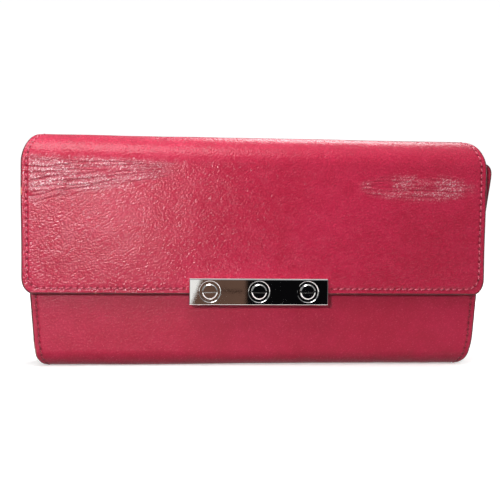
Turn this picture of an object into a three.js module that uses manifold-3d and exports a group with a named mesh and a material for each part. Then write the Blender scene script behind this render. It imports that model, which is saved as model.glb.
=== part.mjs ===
// A long flap wallet in grained leather, with a polished plaque screwed across the flap's lower edge.
//
// Frame: +Z up, -Y the front, +X the right-hand side seen from the front, in millimetres.
// The wallet stands on its rolled base, and the origin is the centre of its bounding box's underside.
//
// One hide makes the outside: up the front, under the base, up the back, over the top and down the flap.
// Board stiffens the flat parts and lining covers the inside. The hide folds at three places: under the
// front panel, and at the rear and front of the top roll. Inside stand two banks of card slots, two bill
// compartments closed by bellows gussets, and between them a zipped coin pocket.

import * as THREE from "three";
import { mergeVertices } from "three/addons/utils/BufferGeometryUtils.js";
import Module from "manifold-3d";

const wasm = await Module();
wasm.setup();

// ---------------------------------------------------------------- driving dimensions

const HEIGHT = 97;
const FLAP_HALF = 97; // half-width of the flap and of the back's top
const ROLL_HALF = 91.5; // half-width of the roll's crown, where its ends draw in
const ROLL_CORNER = 14; // height over which they draw in
const BASE_HALF = 92; // half-width of every panel at the base
const FRONT_TOP_HALF = 99.4; // half-width of the front panel at its top edge
const FRONT_TOP = 87; // height of the front panel's top edge
const FRONT_CORNER = 5;
const FLAP_EDGE = 30.6; // height of the flap's lower edge
const FLAP_CORNER = 7;
const BASE_CORNER = 8;

const LEATHER = 1.2;
const BOARD = 0.5;
const LINING = 0.6;
const GLUE = 0.1; // clearance between bonded layers
const SLOT_LEATHER = 0.5;
const CARD_TIERS = 3;
const TIER_PITCH = SLOT_LEATHER + GLUE;
const BILL_GAP = 4.6;
const POCKET_WALL = 0.9;
const COIN_GAP = 4.8;
const FLAP_GAP = 1.2; // between the front panel and the flap's lining
const PLAQUE = 2.6;
const PLAQUE_HALF = 29;
const PLAQUE_BOTTOM = 26.4;
const PLAQUE_TOP = 37.4;
const SCREW_Z = (PLAQUE_BOTTOM + PLAQUE_TOP) / 2; // height of the screws and of the snap behind the plaque

const BASE_REAR_R = 7; // outer radii of the hide's four bends
const BASE_FRONT_R = 7;
const TOP_REAR_R = 9;
const TOP_FRONT_R = 12;
const FOLD_GAP = 0.3; // opening left between two rigid pieces that meet at a fold

const SHEET = BOARD + LINING + 2 * GLUE; // what lies behind the hide on a stiffened panel
const LINING_DEPTH = LEATHER + GLUE + BOARD + GLUE; // from the outer face to the lining

// ---------------------------------------------------------------- the stack, from back to front

const BANK = CARD_TIERS * TIER_PITCH;
const PANEL = LEATHER + SHEET;
const DEPTH = 3 * PANEL + 2 * BANK + 2 * BILL_GAP + 2 * POCKET_WALL + COIN_GAP + FLAP_GAP + GLUE + PLAQUE;

const BACK_FACE = DEPTH / 2;
const BACK_INNER = BACK_FACE - PANEL;
const POCKET_REAR = BACK_INNER - BANK - BILL_GAP; // the coin pocket's rear face
const POCKET_FRONT = POCKET_REAR - 2 * POCKET_WALL - COIN_GAP;
const FRONT_INNER = POCKET_FRONT - BILL_GAP - BANK;
const FRONT_FACE = FRONT_INNER - PANEL;
const FLAP_FACE = FRONT_FACE - FLAP_GAP - PANEL;
const PLAQUE_BACK = FLAP_FACE - GLUE;
const PLAQUE_FACE = PLAQUE_BACK - PLAQUE;
const POCKET_MIDDLE = (POCKET_REAR + POCKET_FRONT) / 2;

// ---------------------------------------------------------------- solids

const solidOf = (geometry) => {
  const bare = geometry.index ? geometry.toNonIndexed() : geometry.clone();
  bare.deleteAttribute("normal");
  bare.deleteAttribute("uv");
  const merged = mergeVertices(bare, 1e-4);
  return new wasm.Manifold(
    new wasm.Mesh({
      numProp: 3,
      vertProperties: merged.attributes.position.array,
      triVerts: new Uint32Array(merged.index.array),
    }),
  );
};

const geometryOf = (solid) => {
  const mesh = solid.getMesh();
  return new THREE.BufferGeometry()
    .setAttribute("position", new THREE.BufferAttribute(new Float32Array(mesh.vertProperties), 3))
    .setIndex(new THREE.BufferAttribute(new Uint32Array(mesh.triVerts), 1));
};

const shapeOf = (points) => new THREE.Shape(points.map(([a, b]) => new THREE.Vector2(a, b)));

const extrude = (shape, depth) =>
  new THREE.ExtrudeGeometry(shape, { depth, bevelEnabled: false, curveSegments: 6, steps: 1 });

// A shape drawn in (y, z), extruded along X from x0 to x1.
const alongX = (shape, x0, x1) =>
  solidOf(
    extrude(shape, x1 - x0).applyMatrix4(
      new THREE.Matrix4().set(0, 0, 1, x0, 1, 0, 0, 0, 0, 1, 0, 0, 0, 0, 0, 1),
    ),
  );

// A shape drawn in (x, z), extruded along Y from y0 back to y1.
const alongY = (shape, y0, y1) =>
  solidOf(
    extrude(shape, y1 - y0).applyMatrix4(
      new THREE.Matrix4().set(1, 0, 0, 0, 0, 0, -1, y1, 0, 1, 0, 0, 0, 0, 0, 1),
    ),
  );

// A shape drawn in (x, y), extruded up from z0 to z1, leaning by lean mm in X for each mm of height.
const alongZ = (shape, z0, z1, lean = 0) =>
  solidOf(
    extrude(shape, z1 - z0).applyMatrix4(
      new THREE.Matrix4().set(1, 0, lean, 0, 0, 1, 0, 0, 0, 0, 1, z0, 0, 0, 0, 1),
    ),
  );

const box = (x0, x1, y0, y1, z0, z1) =>
  solidOf(
    new THREE.BoxGeometry(x1 - x0, y1 - y0, z1 - z0).translate((x0 + x1) / 2, (y0 + y1) / 2, (z0 + z1) / 2),
  );

// A cone along Y, of radius r0 at y0 and r1 at y1, and a round bar.
const coneY = (x, z, r0, r1, y0, y1, sides = 28) =>
  solidOf(new THREE.CylinderGeometry(r1, r0, y1 - y0, sides).translate(x, (y0 + y1) / 2, z));
const rodY = (x, z, radius, y0, y1, sides = 28) => coneY(x, z, radius, radius, y0, y1, sides);

// ---------------------------------------------------------------- the hide's outer line, in (y, z)

// Its pieces run anticlockwise seen from +X: front panel, base, back, top roll and flap.
const line = (a, b) => ({ a, b, length: Math.hypot(b[0] - a[0], b[1] - a[1]) });
const bend = (centre, radius, degrees) => ({
  centre,
  radius,
  start: THREE.MathUtils.degToRad(degrees),
  length: (radius * Math.PI) / 2,
});

const HIDE = [
  line([FRONT_FACE, FRONT_TOP], [FRONT_FACE, BASE_FRONT_R]),
  bend([FRONT_FACE + BASE_FRONT_R, BASE_FRONT_R], BASE_FRONT_R, 180),
  line([FRONT_FACE + BASE_FRONT_R, 0], [BACK_FACE - BASE_REAR_R, 0]),
  bend([BACK_FACE - BASE_REAR_R, BASE_REAR_R], BASE_REAR_R, 270),
  line([BACK_FACE, BASE_REAR_R], [BACK_FACE, HEIGHT - TOP_REAR_R]),
  bend([BACK_FACE - TOP_REAR_R, HEIGHT - TOP_REAR_R], TOP_REAR_R, 0),
  line([BACK_FACE - TOP_REAR_R, HEIGHT], [FLAP_FACE + TOP_FRONT_R, HEIGHT]),
  bend([FLAP_FACE + TOP_FRONT_R, HEIGHT - TOP_FRONT_R], TOP_FRONT_R, 90),
  line([FLAP_FACE, HEIGHT - TOP_FRONT_R], [FLAP_FACE, FLAP_EDGE - LEATHER * 3]),
];
const BEND_STEPS = 10;

// Stations along the line: the whole number is the piece, the fraction how far along it.
const FRONT_START = 0;
const FRONT_FOLD = 1.5;
const REAR_FOLD = 5.5;
const FLAP_FOLD = 7.5;
const FLAP_END = HIDE.length;

const hidePoint = (station, depth) => {
  const index = Math.min(Math.floor(station), HIDE.length - 1);
  const piece = HIDE[index];
  const share = station - index;
  if (piece.centre) {
    const angle = piece.start + (share * Math.PI) / 2;
    const radius = piece.radius - depth;
    return [piece.centre[0] + radius * Math.cos(angle), piece.centre[1] + radius * Math.sin(angle)];
  }
  const along = [(piece.b[0] - piece.a[0]) / piece.length, (piece.b[1] - piece.a[1]) / piece.length];
  const run = share * piece.length;
  return [
    piece.a[0] + along[0] * run - along[1] * depth,
    piece.a[1] + along[1] * run + along[0] * depth,
  ];
};

const hideLine = (from, to, depth) => {
  const stations = [from];
  for (let index = Math.floor(from); index < to; index++) {
    const steps = HIDE[index].centre ? BEND_STEPS : 1;
    for (let step = 0; step < steps; step++) {
      const station = index + step / steps;
      if (station > from && station < to) stations.push(station);
    }
  }
  stations.push(to);
  return stations.map((station) => hidePoint(station, depth));
};

// A layer of the wall between two stations and two depths below the outer face, across the full width.
const layer = (from, to, outer, inner) =>
  alongX(shapeOf([...hideLine(from, to, outer), ...hideLine(from, to, inner).reverse()]), -110, 110);

const liningLayer = (from, to) => layer(from, to, LINING_DEPTH, LINING_DEPTH + LINING);

// The station just past or just short of a fold, which leaves FOLD_GAP between the pieces that meet there.
const beside = (fold, side) => fold + (side * FOLD_GAP) / 2 / HIDE[Math.floor(fold)].length;

// ---------------------------------------------------------------- outlines in (x, z)

// A panel that widens from the base up to its top edge, with rounded corners.
const panelOutline = ({ bottom, top, halfBottom, halfTop, corner, topCorner = 1 }) => {
  const lean = (halfTop - halfBottom) / (top - bottom);
  const half = halfBottom + lean * corner;
  const shoulder = halfTop - lean * topCorner;
  return new THREE.Shape()
    .moveTo(-halfTop + topCorner, top)
    .quadraticCurveTo(-halfTop, top, -shoulder, top - topCorner)
    .lineTo(-half, bottom + corner)
    .quadraticCurveTo(-halfBottom, bottom, -halfBottom + corner, bottom)
    .lineTo(halfBottom - corner, bottom)
    .quadraticCurveTo(halfBottom, bottom, half, bottom + corner)
    .lineTo(shoulder, top - topCorner)
    .quadraticCurveTo(halfTop, top, halfTop - topCorner, top);
};

const FRONT_LEAN = (FRONT_TOP_HALF - BASE_HALF) / FRONT_TOP;
const BACK_LEAN = (FLAP_HALF - BASE_HALF) / (HEIGHT - ROLL_CORNER);

// Half-width of the front or back panel at height z, less an inset.
const halfAt = (lean, z, inset) => BASE_HALF + lean * z - inset;

const insetPanel = (lean, inset, bottom, top, corner) => {
  const halfBottom = halfAt(lean, bottom, inset);
  const halfTop = halfAt(lean, top, inset);
  return panelOutline({ bottom, top, halfBottom, halfTop, corner });
};

// The upper corners that the back, the roll and the flap share: from the crown's left end down the left side,
// and from the right side up to the crown's right end.
const startCrown = () =>
  new THREE.Shape()
    .moveTo(-ROLL_HALF, HEIGHT + 1)
    .lineTo(-ROLL_HALF, HEIGHT)
    .quadraticCurveTo(-FLAP_HALF, HEIGHT - 1, -FLAP_HALF, HEIGHT - ROLL_CORNER);

const closeCrown = (shape) =>
  shape
    .lineTo(FLAP_HALF, HEIGHT - ROLL_CORNER)
    .quadraticCurveTo(FLAP_HALF, HEIGHT - 1, ROLL_HALF, HEIGHT)
    .lineTo(ROLL_HALF, HEIGHT + 1);

const backOutline = () => {
  const half = BASE_HALF + BACK_LEAN * BASE_CORNER;
  return closeCrown(
    startCrown()
      .lineTo(-half, BASE_CORNER)
      .quadraticCurveTo(-BASE_HALF, -1, -BASE_HALF + BASE_CORNER, -1)
      .lineTo(BASE_HALF - BASE_CORNER, -1)
      .quadraticCurveTo(BASE_HALF, -1, half, BASE_CORNER),
  );
};

const TAB_HALF = 26; // the tongue of the flap that reaches down behind the plaque
const TAB_DROP = 3;

const flapOutline = () =>
  closeCrown(
    startCrown()
      .lineTo(-FLAP_HALF, FLAP_EDGE + FLAP_CORNER)
      .quadraticCurveTo(-FLAP_HALF, FLAP_EDGE, -FLAP_HALF + FLAP_CORNER, FLAP_EDGE)
      .lineTo(-TAB_HALF, FLAP_EDGE)
      .lineTo(-TAB_HALF + 1, FLAP_EDGE - TAB_DROP)
      .lineTo(TAB_HALF - 1, FLAP_EDGE - TAB_DROP)
      .lineTo(TAB_HALF, FLAP_EDGE)
      .lineTo(FLAP_HALF - FLAP_CORNER, FLAP_EDGE)
      .quadraticCurveTo(FLAP_HALF, FLAP_EDGE, FLAP_HALF, FLAP_EDGE + FLAP_CORNER),
  );

const cutTo = (solid, outline) => solid.intersect(alongY(outline, -DEPTH, DEPTH));

// ---------------------------------------------------------------- materials

const material = (color, roughness, metalness = 0) =>
  new THREE.MeshStandardMaterial({ color, roughness, metalness });

const HIDE_LEATHER = material(0xb8304e, 0.5);
const LINING_LEATHER = material(0xa82a48, 0.6);
const BOARD_FIBRE = material(0x9c7a58, 0.9);
const GUSSET_LEATHER = material(0xa02642, 0.6);
const ZIP_TAPE = material(0x8c1f38, 0.9);
const POLISHED = material(0xd8d8da, 0.08, 1);
const NICKEL = material(0xc4c4c6, 0.25, 1);

const wallet = new THREE.Group();
const add = (name, solid, finish) => {
  const mesh = new THREE.Mesh(geometryOf(solid), finish);
  mesh.name = name;
  wallet.add(mesh);
};

// ---------------------------------------------------------------- back, base and their lining

const BOARD_INSET = 4;
const SLOT_INSET = 3.5;
const SLOT_BOTTOM = 8;
const TIER_TOPS = [78, 68.5, 59];

// Card slots are strips stacked on the lining, each lower at its top edge than the one behind it.
// towards is -1 on the back panel, whose slots face forwards, and 1 on the front panel.
const addCardBank = (name, lean, face, towards) => {
  TIER_TOPS.forEach((top, tier) => {
    const near = face + towards * (GLUE + tier * TIER_PITCH);
    const front = Math.min(near, near + towards * SLOT_LEATHER);
    const outline = insetPanel(lean, SLOT_INSET, SLOT_BOTTOM, top, 2);
    add(`card_slot_${name}_${tier + 1}`, alongY(outline, front, front + SLOT_LEATHER), LINING_LEATHER);
  });
};

const addBack = () => {
  const from = beside(FRONT_FOLD, 1);
  const to = beside(REAR_FOLD, -1);
  add("back_leather", cutTo(layer(from, to, 0, LEATHER), backOutline()), HIDE_LEATHER);
  add("back_lining", cutTo(liningLayer(from, to), backOutline()), LINING_LEATHER);
  const board = BACK_FACE - LEATHER - GLUE;
  add("back_board", alongY(insetPanel(BACK_LEAN, BOARD_INSET, 9, 82, 2), board - BOARD, board), BOARD_FIBRE);
  const half = BASE_HALF - BASE_CORNER - 2;
  const front = FRONT_FACE + BASE_FRONT_R + 0.5;
  const rear = BACK_FACE - BASE_REAR_R - 0.5;
  const low = LEATHER + GLUE;
  add("base_board", box(-half, half, front, rear, low, low + BOARD), BOARD_FIBRE);
  addCardBank("back", BACK_LEAN, BACK_INNER, -1);
};

// ---------------------------------------------------------------- front panel

const STUD_BASE_R = 4.2;
const STUD_R = 2.2;
const STUD_RISE = 1.9;
const RIVET_R = 1.2;
const RIVET_CLEAR = 0.15;

const addFront = () => {
  const from = FRONT_START;
  const to = beside(FRONT_FOLD, -1);
  const outline = panelOutline({
    bottom: -1,
    top: FRONT_TOP,
    halfBottom: BASE_HALF,
    halfTop: FRONT_TOP_HALF,
    corner: BASE_CORNER + 1,
    topCorner: FRONT_CORNER,
  });
  const hole = rodY(0, SCREW_Z, RIVET_R + RIVET_CLEAR, FRONT_FACE - 1, FRONT_FACE + LEATHER + 0.5);
  add("front_leather", cutTo(layer(from, to, 0, LEATHER), outline).subtract(hole), HIDE_LEATHER);
  add("front_lining", cutTo(liningLayer(from, to), outline), LINING_LEATHER);

  const boardFront = FRONT_FACE + LEATHER + GLUE;
  const washerR = STUD_BASE_R + 0.6;
  const washerHole = rodY(0, SCREW_Z, washerR + 0.3, boardFront - 1, boardFront + BOARD + 1);
  const board = alongY(insetPanel(FRONT_LEAN, BOARD_INSET, 9, 82, 2), boardFront, boardFront + BOARD);
  add("front_board", board.subtract(washerHole), BOARD_FIBRE);
  add(
    "snap_rivet",
    rodY(0, SCREW_Z, washerR, boardFront, boardFront + BOARD)
      .add(rodY(0, SCREW_Z, RIVET_R, FRONT_FACE + 0.05, boardFront + 0.1)),
    NICKEL,
  );
  const stud = rodY(0, SCREW_Z, STUD_BASE_R, FRONT_FACE - 0.6, FRONT_FACE - GLUE)
    .add(rodY(0, SCREW_Z, STUD_R - 0.3, FRONT_FACE - STUD_RISE + 0.2, FRONT_FACE - 0.5))
    .add(rodY(0, SCREW_Z, STUD_R, FRONT_FACE - STUD_RISE, FRONT_FACE - STUD_RISE + 0.8));
  add("snap_stud", stud, NICKEL);
  addCardBank("front", FRONT_LEAN, FRONT_INNER, 1);
};

// ---------------------------------------------------------------- gussets

const GUSSET = 0.6;
const GUSSET_BOTTOM = 5;
const GUSSET_TOP = 80;
const GUSSET_TUCK = 12; // how far the fold reaches in from the wallet's side
const GUSSET_EDGE = 1.3;

// A ribbon of constant thickness along a line of points in a plane, as a closed outline.
const ribbon = (points, thickness) => {
  const half = thickness / 2;
  const side = (sign) =>
    points.map((point, i) => {
      const before = points[Math.max(i - 1, 0)];
      const after = points[Math.min(i + 1, points.length - 1)];
      const inward = new THREE.Vector2(point[0] - before[0], point[1] - before[1]).normalize();
      const outward = new THREE.Vector2(after[0] - point[0], after[1] - point[1]).normalize();
      if (i === 0) inward.copy(outward);
      if (i === points.length - 1) outward.copy(inward);
      const tangent = inward.clone().add(outward).normalize();
      const reach = half / Math.max(tangent.dot(inward), 0.5);
      return [point[0] - sign * tangent.y * reach, point[1] + sign * tangent.x * reach];
    });
  return shapeOf([...side(1), ...side(-1).reverse()]);
};

// One bellows: from the lined wall it folds in towards the wallet's middle and returns to the coin pocket.
// wall and pocket are the faces that it is sewn to, in y, and side is -1 for the left and 1 for the right.
const gusset = (wall, pocket, lean, side) => {
  const way = Math.sign(pocket - wall);
  const gap = GLUE + GUSSET / 2;
  const middle = (wall + way * BANK + pocket) / 2;
  const points = [
    [GUSSET_EDGE, wall + way * gap],
    [GUSSET_EDGE, wall + way * (BANK + gap)],
    [GUSSET_TUCK, middle - way * 0.6],
    [GUSSET_TUCK, middle + way * 0.6],
    [GUSSET_EDGE, pocket - way * gap],
  ].map(([tuck, y]) => [side * (halfAt(lean, GUSSET_BOTTOM, 0) - tuck), y]);
  const section = ribbon(side * way > 0 ? points : points.reverse(), GUSSET);
  return alongZ(section, GUSSET_BOTTOM, GUSSET_TOP, side * lean);
};

const addGussets = () => {
  for (const [label, side] of [["left", -1], ["right", 1]]) {
    add(`gusset_rear_${label}`, gusset(BACK_INNER, POCKET_REAR, BACK_LEAN, side), GUSSET_LEATHER);
    add(`gusset_front_${label}`, gusset(FRONT_INNER, POCKET_FRONT, FRONT_LEAN, side), GUSSET_LEATHER);
  }
};

// ---------------------------------------------------------------- coin pocket and its zip

const POCKET_BOTTOM = 5;
const POCKET_TOP = 72;
const POCKET_INSET = 1.5;
const POCKET_BASE = 1.2;
const SEAM = 2; // width of the sewn strip that closes each side

const CHAIN_BOTTOM = 74.4;
const CHAIN_TOP = 76;
const TAPE = 0.4;
const TAPE_TOP = 75.4;
const TAPE_DROP = 9;
const CHAIN_HALF = 81; // the chain runs from -81 to 81
const TOOTH_PITCH = 2.4;
const TOOTH = 0.9;
const TOOTH_REACH = 0.65;
const RAIL_FROM = 0.85;
const RAIL_TO = 1.35;

const SLIDER_X = 76;
const SLIDER_HALF = 4.3;
const PULLER_LENGTH = 13.5;

// One row of teeth: a rail that grips the tape, with teeth across the middle at every second place.
const teeth = (side, shift) => {
  const outline = [[-CHAIN_HALF, side * RAIL_TO], [-CHAIN_HALF, side * RAIL_FROM]];
  for (let x = -CHAIN_HALF + 1 + shift; x + TOOTH < SLIDER_X + 1; x += TOOTH_PITCH) {
    outline.push([x, side * RAIL_FROM], [x, -side * TOOTH_REACH]);
    outline.push([x + TOOTH, -side * TOOTH_REACH], [x + TOOTH, side * RAIL_FROM]);
  }
  outline.push([CHAIN_HALF, side * RAIL_FROM], [CHAIN_HALF, side * RAIL_TO]);
  const placed = outline.map(([x, y]) => [x, y + POCKET_MIDDLE]);
  return alongZ(shapeOf(side > 0 ? placed.reverse() : placed), CHAIN_BOTTOM, CHAIN_TOP);
};

// A tape: down the inside of the pocket's wall, over its lip, and in to the teeth.
const tape = (side) => {
  const wall = COIN_GAP / 2 - GLUE;
  const points = [
    [wall - TAPE / 2, POCKET_TOP - TAPE_DROP],
    [wall - TAPE / 2, TAPE_TOP - TAPE / 2],
    [RAIL_TO + 0.1, TAPE_TOP - TAPE / 2],
  ].map(([y, z]) => [POCKET_MIDDLE + side * y, z]);
  return alongX(ribbon(side > 0 ? points : points.reverse(), TAPE), -CHAIN_HALF - 3, CHAIN_HALF + 3);
};

const PLATE = 0.8;
const SLIDER_TOP = CHAIN_TOP + 0.3 + PLATE;
const BAIL_RISE = 2;
const PIVOT_Z = SLIDER_TOP + 0.85;

const slider = () => {
  const x0 = SLIDER_X - SLIDER_HALF;
  const x1 = SLIDER_X + SLIDER_HALF;
  const y = POCKET_MIDDLE;
  const top = box(x0, x1, y - 2.7, y + 2.7, SLIDER_TOP - PLATE, SLIDER_TOP);
  const bottom = box(x0, x1, y - 1.7, y + 1.7, CHAIN_BOTTOM - 0.3 - PLATE, CHAIN_BOTTOM - 0.3);
  const post = box(x1 - 2.2, x1 - 0.6, y - 0.7, y + 0.7, CHAIN_BOTTOM - 0.6, SLIDER_TOP - 0.4);
  const flanges = [-1, 1].map((side) =>
    box(x0 + 0.6, x1 - 0.6, y + side * 2.4 - 0.3, y + side * 2.4 + 0.3, TAPE_TOP + 0.15, SLIDER_TOP - 0.4),
  );
  const bailTop = SLIDER_TOP + BAIL_RISE;
  const arch = box(SLIDER_X - 2.6, SLIDER_X + 2.6, y - 0.6, y + 0.6, SLIDER_TOP - 0.4, bailTop)
    .subtract(box(SLIDER_X - 1.7, SLIDER_X + 1.7, y - 1, y + 1, SLIDER_TOP, bailTop - 0.5));
  return [bottom, post, ...flanges, arch].reduce((whole, piece) => whole.add(piece), top);
};

// The puller lies along the chain: a cross-bar through the slider's bail, two arms and a flat tab.
const puller = () => {
  const y = POCKET_MIDDLE;
  const armInner = 0.85;
  const armOuter = 1.6;
  const tabStart = 3.4;
  const thick = 0.45;
  const half = 0.4;
  const bar = box(-half, half, -armOuter, armOuter, -half, half).translate([SLIDER_X, y, PIVOT_Z]);
  const arms = [-1, 1].map((side) => {
    const low = Math.min(y + side * armInner, y + side * armOuter);
    const high = low + armOuter - armInner;
    return box(SLIDER_X - tabStart - 0.5, SLIDER_X + 0.4, low, high, PIVOT_Z - thick, PIVOT_Z + thick);
  });
  const end = SLIDER_X - PULLER_LENGTH;
  const tab = alongZ(
    new THREE.Shape()
      .moveTo(SLIDER_X - tabStart, y - armOuter)
      .lineTo(SLIDER_X - tabStart, y + armOuter)
      .lineTo(end + 2, y + 2.2)
      .quadraticCurveTo(end, y + 2.2, end, y)
      .quadraticCurveTo(end, y - 2.2, end + 2, y - 2.2),
    PIVOT_Z - thick,
    PIVOT_Z + thick,
  );
  return [...arms, tab].reduce((whole, piece) => whole.add(piece), bar);
};

const addCoinPocket = () => {
  const wrap = shapeOf([
    [POCKET_FRONT, POCKET_TOP],
    [POCKET_FRONT, POCKET_BOTTOM],
    [POCKET_REAR, POCKET_BOTTOM],
    [POCKET_REAR, POCKET_TOP],
    [POCKET_REAR - POCKET_WALL, POCKET_TOP],
    [POCKET_REAR - POCKET_WALL, POCKET_BOTTOM + POCKET_BASE],
    [POCKET_FRONT + POCKET_WALL, POCKET_BOTTOM + POCKET_BASE],
    [POCKET_FRONT + POCKET_WALL, POCKET_TOP],
  ]);
  const outline = insetPanel(BACK_LEAN, POCKET_INSET, POCKET_BOTTOM - 1, POCKET_TOP + 1, 3);
  add("coin_pocket_leather", cutTo(alongX(wrap, -110, 110), outline), GUSSET_LEATHER);

  for (const [label, side] of [["left", -1], ["right", 1]]) {
    const outer = halfAt(BACK_LEAN, POCKET_BOTTOM + 4, POCKET_INSET + 0.5);
    const xs = [side * (outer - SEAM), side * outer].sort((a, b) => a - b);
    const y0 = POCKET_FRONT + POCKET_WALL + GLUE;
    const y1 = POCKET_REAR - POCKET_WALL - GLUE;
    const section = shapeOf([[xs[0], y0], [xs[1], y0], [xs[1], y1], [xs[0], y1]]);
    const strip = alongZ(section, POCKET_BOTTOM + 4, POCKET_TOP - 0.5, side * BACK_LEAN);
    add(`coin_pocket_side_${label}`, strip, GUSSET_LEATHER);
  }

  for (const [label, side, shift] of [["front", -1, 0], ["rear", 1, TOOTH_PITCH / 2]]) {
    add(`zip_tape_${label}`, tape(side), ZIP_TAPE);
    add(`zip_teeth_${label}`, teeth(side, shift), NICKEL);
  }
  const stop = (x) =>
    box(x - 0.8, x + 0.8, POCKET_MIDDLE - 1.3, POCKET_MIDDLE + 1.3, CHAIN_BOTTOM, CHAIN_TOP + 0.5);
  add("zip_stop_left", stop(-CHAIN_HALF - 1.2), NICKEL);
  add("zip_stop_right", stop(CHAIN_HALF + 1.2), NICKEL);
  add("zip_slider", slider(), NICKEL);
  add("zip_puller", puller(), NICKEL);
};

// ---------------------------------------------------------------- top roll

const addRoll = () => {
  const from = beside(REAR_FOLD, 1);
  const to = beside(FLAP_FOLD, -1);
  add("roll_leather", cutTo(layer(from, to, 0, LEATHER), flapOutline()), HIDE_LEATHER);
  add("roll_lining", cutTo(liningLayer(from, to), flapOutline()), LINING_LEATHER);
};

// ---------------------------------------------------------------- flap, plaque and snap

const PLAQUE_CHAMFER = 0.4;
const SCREW_PITCH = 20.5;
const HEAD_R = 3.25;
const SINK_R = 4.4; // the countersink's mouth
const SINK_FLOOR_R = HEAD_R + 0.25;
const HEAD_DEEP = 0.9;
const SLOT_WIDE = 0.7;
const SLOT_DEEP = 0.5;
const SHANK_R = 1;
const SHANK_CLEAR = 0.2;
const SCREWS = [["left", -SCREW_PITCH], ["centre", 0], ["right", SCREW_PITCH]];

const SOCKET_R = 5;
const SOCKET_BORE = STUD_R + 0.9;
const SOCKET_FRONT = FLAP_FACE + LEATHER + GLUE;
const SOCKET_CAP = 0.5;
const BACKPLATE_HALF = 27;
const BACKPLATE_TALL = 3.6;

const plaque = () => {
  const body = alongY(
    new THREE.Shape()
      .moveTo(-PLAQUE_HALF, PLAQUE_BOTTOM)
      .lineTo(PLAQUE_HALF, PLAQUE_BOTTOM)
      .lineTo(PLAQUE_HALF, PLAQUE_TOP)
      .lineTo(-PLAQUE_HALF, PLAQUE_TOP),
    PLAQUE_FACE + PLAQUE_CHAMFER,
    PLAQUE_BACK,
  );
  // The face is inset by a chamfer all round.
  const face = solidOf(
    new THREE.CylinderGeometry(Math.SQRT1_2, Math.SQRT1_2, 1, 4).rotateY(Math.PI / 4).translate(0, 0.5, 0),
  );
  const width = 2 * (PLAQUE_HALF - PLAQUE_CHAMFER);
  const height = PLAQUE_TOP - PLAQUE_BOTTOM - 2 * PLAQUE_CHAMFER;
  const lid = face.scale([width, PLAQUE_CHAMFER + 0.1, height]).translate([0, PLAQUE_FACE, SCREW_Z]);
  const holes = SCREWS.map(([, x]) =>
    coneY(x, SCREW_Z, SINK_R, SINK_FLOOR_R, PLAQUE_FACE, PLAQUE_FACE + HEAD_DEEP + 0.1)
      .add(rodY(x, SCREW_Z, SINK_R, PLAQUE_FACE - 1, PLAQUE_FACE))
      .add(rodY(x, SCREW_Z, SHANK_R + SHANK_CLEAR, PLAQUE_FACE - 1, PLAQUE_BACK + 1, 16)),
  );
  return holes.reduce((whole, hole) => whole.subtract(hole), body.add(lid));
};

// A slotted screw, its head just below the plaque's face. tip is the y where its shank ends.
const screw = (x, tip) => {
  const head = rodY(x, SCREW_Z, HEAD_R, PLAQUE_FACE + 0.1, PLAQUE_FACE + HEAD_DEEP);
  const shank = rodY(x, SCREW_Z, SHANK_R, PLAQUE_FACE + HEAD_DEEP - 0.1, tip, 16);
  const reach = HEAD_R + 1;
  const half = SLOT_WIDE / 2;
  const floor = PLAQUE_FACE + 0.1 + SLOT_DEEP;
  const slot = box(x - reach, x + reach, PLAQUE_FACE - 1, floor, SCREW_Z - half, SCREW_Z + half);
  return head.add(shank).subtract(slot);
};

const addFlap = () => {
  const from = beside(FLAP_FOLD, 1);
  const boardFront = FLAP_FACE + LEATHER + GLUE;
  const leather = SCREWS.reduce(
    (whole, [, x]) => whole.subtract(rodY(x, SCREW_Z, SHANK_R + SHANK_CLEAR, FLAP_FACE - 1, boardFront, 16)),
    cutTo(layer(from, FLAP_END, 0, LEATHER), flapOutline()),
  );
  add("flap_leather", leather, HIDE_LEATHER);

  const socketHole = rodY(0, SCREW_Z, SOCKET_R + 0.3, FLAP_FACE + LEATHER, FLAP_FACE + PANEL + 1);
  const lining = cutTo(liningLayer(from, FLAP_END), flapOutline());
  add("flap_lining", lining.subtract(socketHole), LINING_LEATHER);

  const boardOutline = insetPanel(0, BASE_HALF - FLAP_HALF + BOARD_INSET, FLAP_EDGE + BOARD_INSET, 82, 3);
  const roomHalf = BACKPLATE_HALF + 0.4;
  const roomTop = SCREW_Z + BACKPLATE_TALL + 0.4;
  const board = alongY(boardOutline, boardFront, boardFront + BOARD)
    .subtract(box(-roomHalf, roomHalf, boardFront - 1, boardFront + 2, 0, roomTop))
    .subtract(rodY(0, SCREW_Z, SOCKET_R + 0.6, boardFront - 1, boardFront + 2));
  add("flap_board", board, BOARD_FIBRE);

  add("plaque", plaque(), POLISHED);
  // The centre screw stops short of the snap socket behind it.
  for (const [label, x] of SCREWS) {
    const tip = x === 0 ? SOCKET_FRONT - 0.15 : boardFront + BOARD - 0.1;
    add(`plaque_screw_${label}`, screw(x, tip), POLISHED);
  }
  for (const [label, side] of [["left", -1], ["right", 1]]) {
    const xs = [side * (SOCKET_R + 1), side * BACKPLATE_HALF].sort((a, b) => a - b);
    const low = SCREW_Z - BACKPLATE_TALL;
    const plate = box(xs[0], xs[1], boardFront, boardFront + BOARD, low, SCREW_Z + BACKPLATE_TALL);
    const hole = rodY(side * SCREW_PITCH, SCREW_Z, SHANK_R + SHANK_CLEAR, boardFront - 1, boardFront + 2, 16);
    add(`backplate_${label}`, plate.subtract(hole), NICKEL);
  }

  const cap = rodY(0, SCREW_Z, SOCKET_R, SOCKET_FRONT, SOCKET_FRONT + SOCKET_CAP);
  const ring = rodY(0, SCREW_Z, SOCKET_R, SOCKET_FRONT + SOCKET_CAP - 0.1, FLAP_FACE + PANEL + 0.4)
    .subtract(rodY(0, SCREW_Z, SOCKET_BORE, SOCKET_FRONT + SOCKET_CAP, FLAP_FACE + PANEL + 1));
  add("snap_socket", cap.add(ring), NICKEL);
};

// ---------------------------------------------------------------- the wallet

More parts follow.
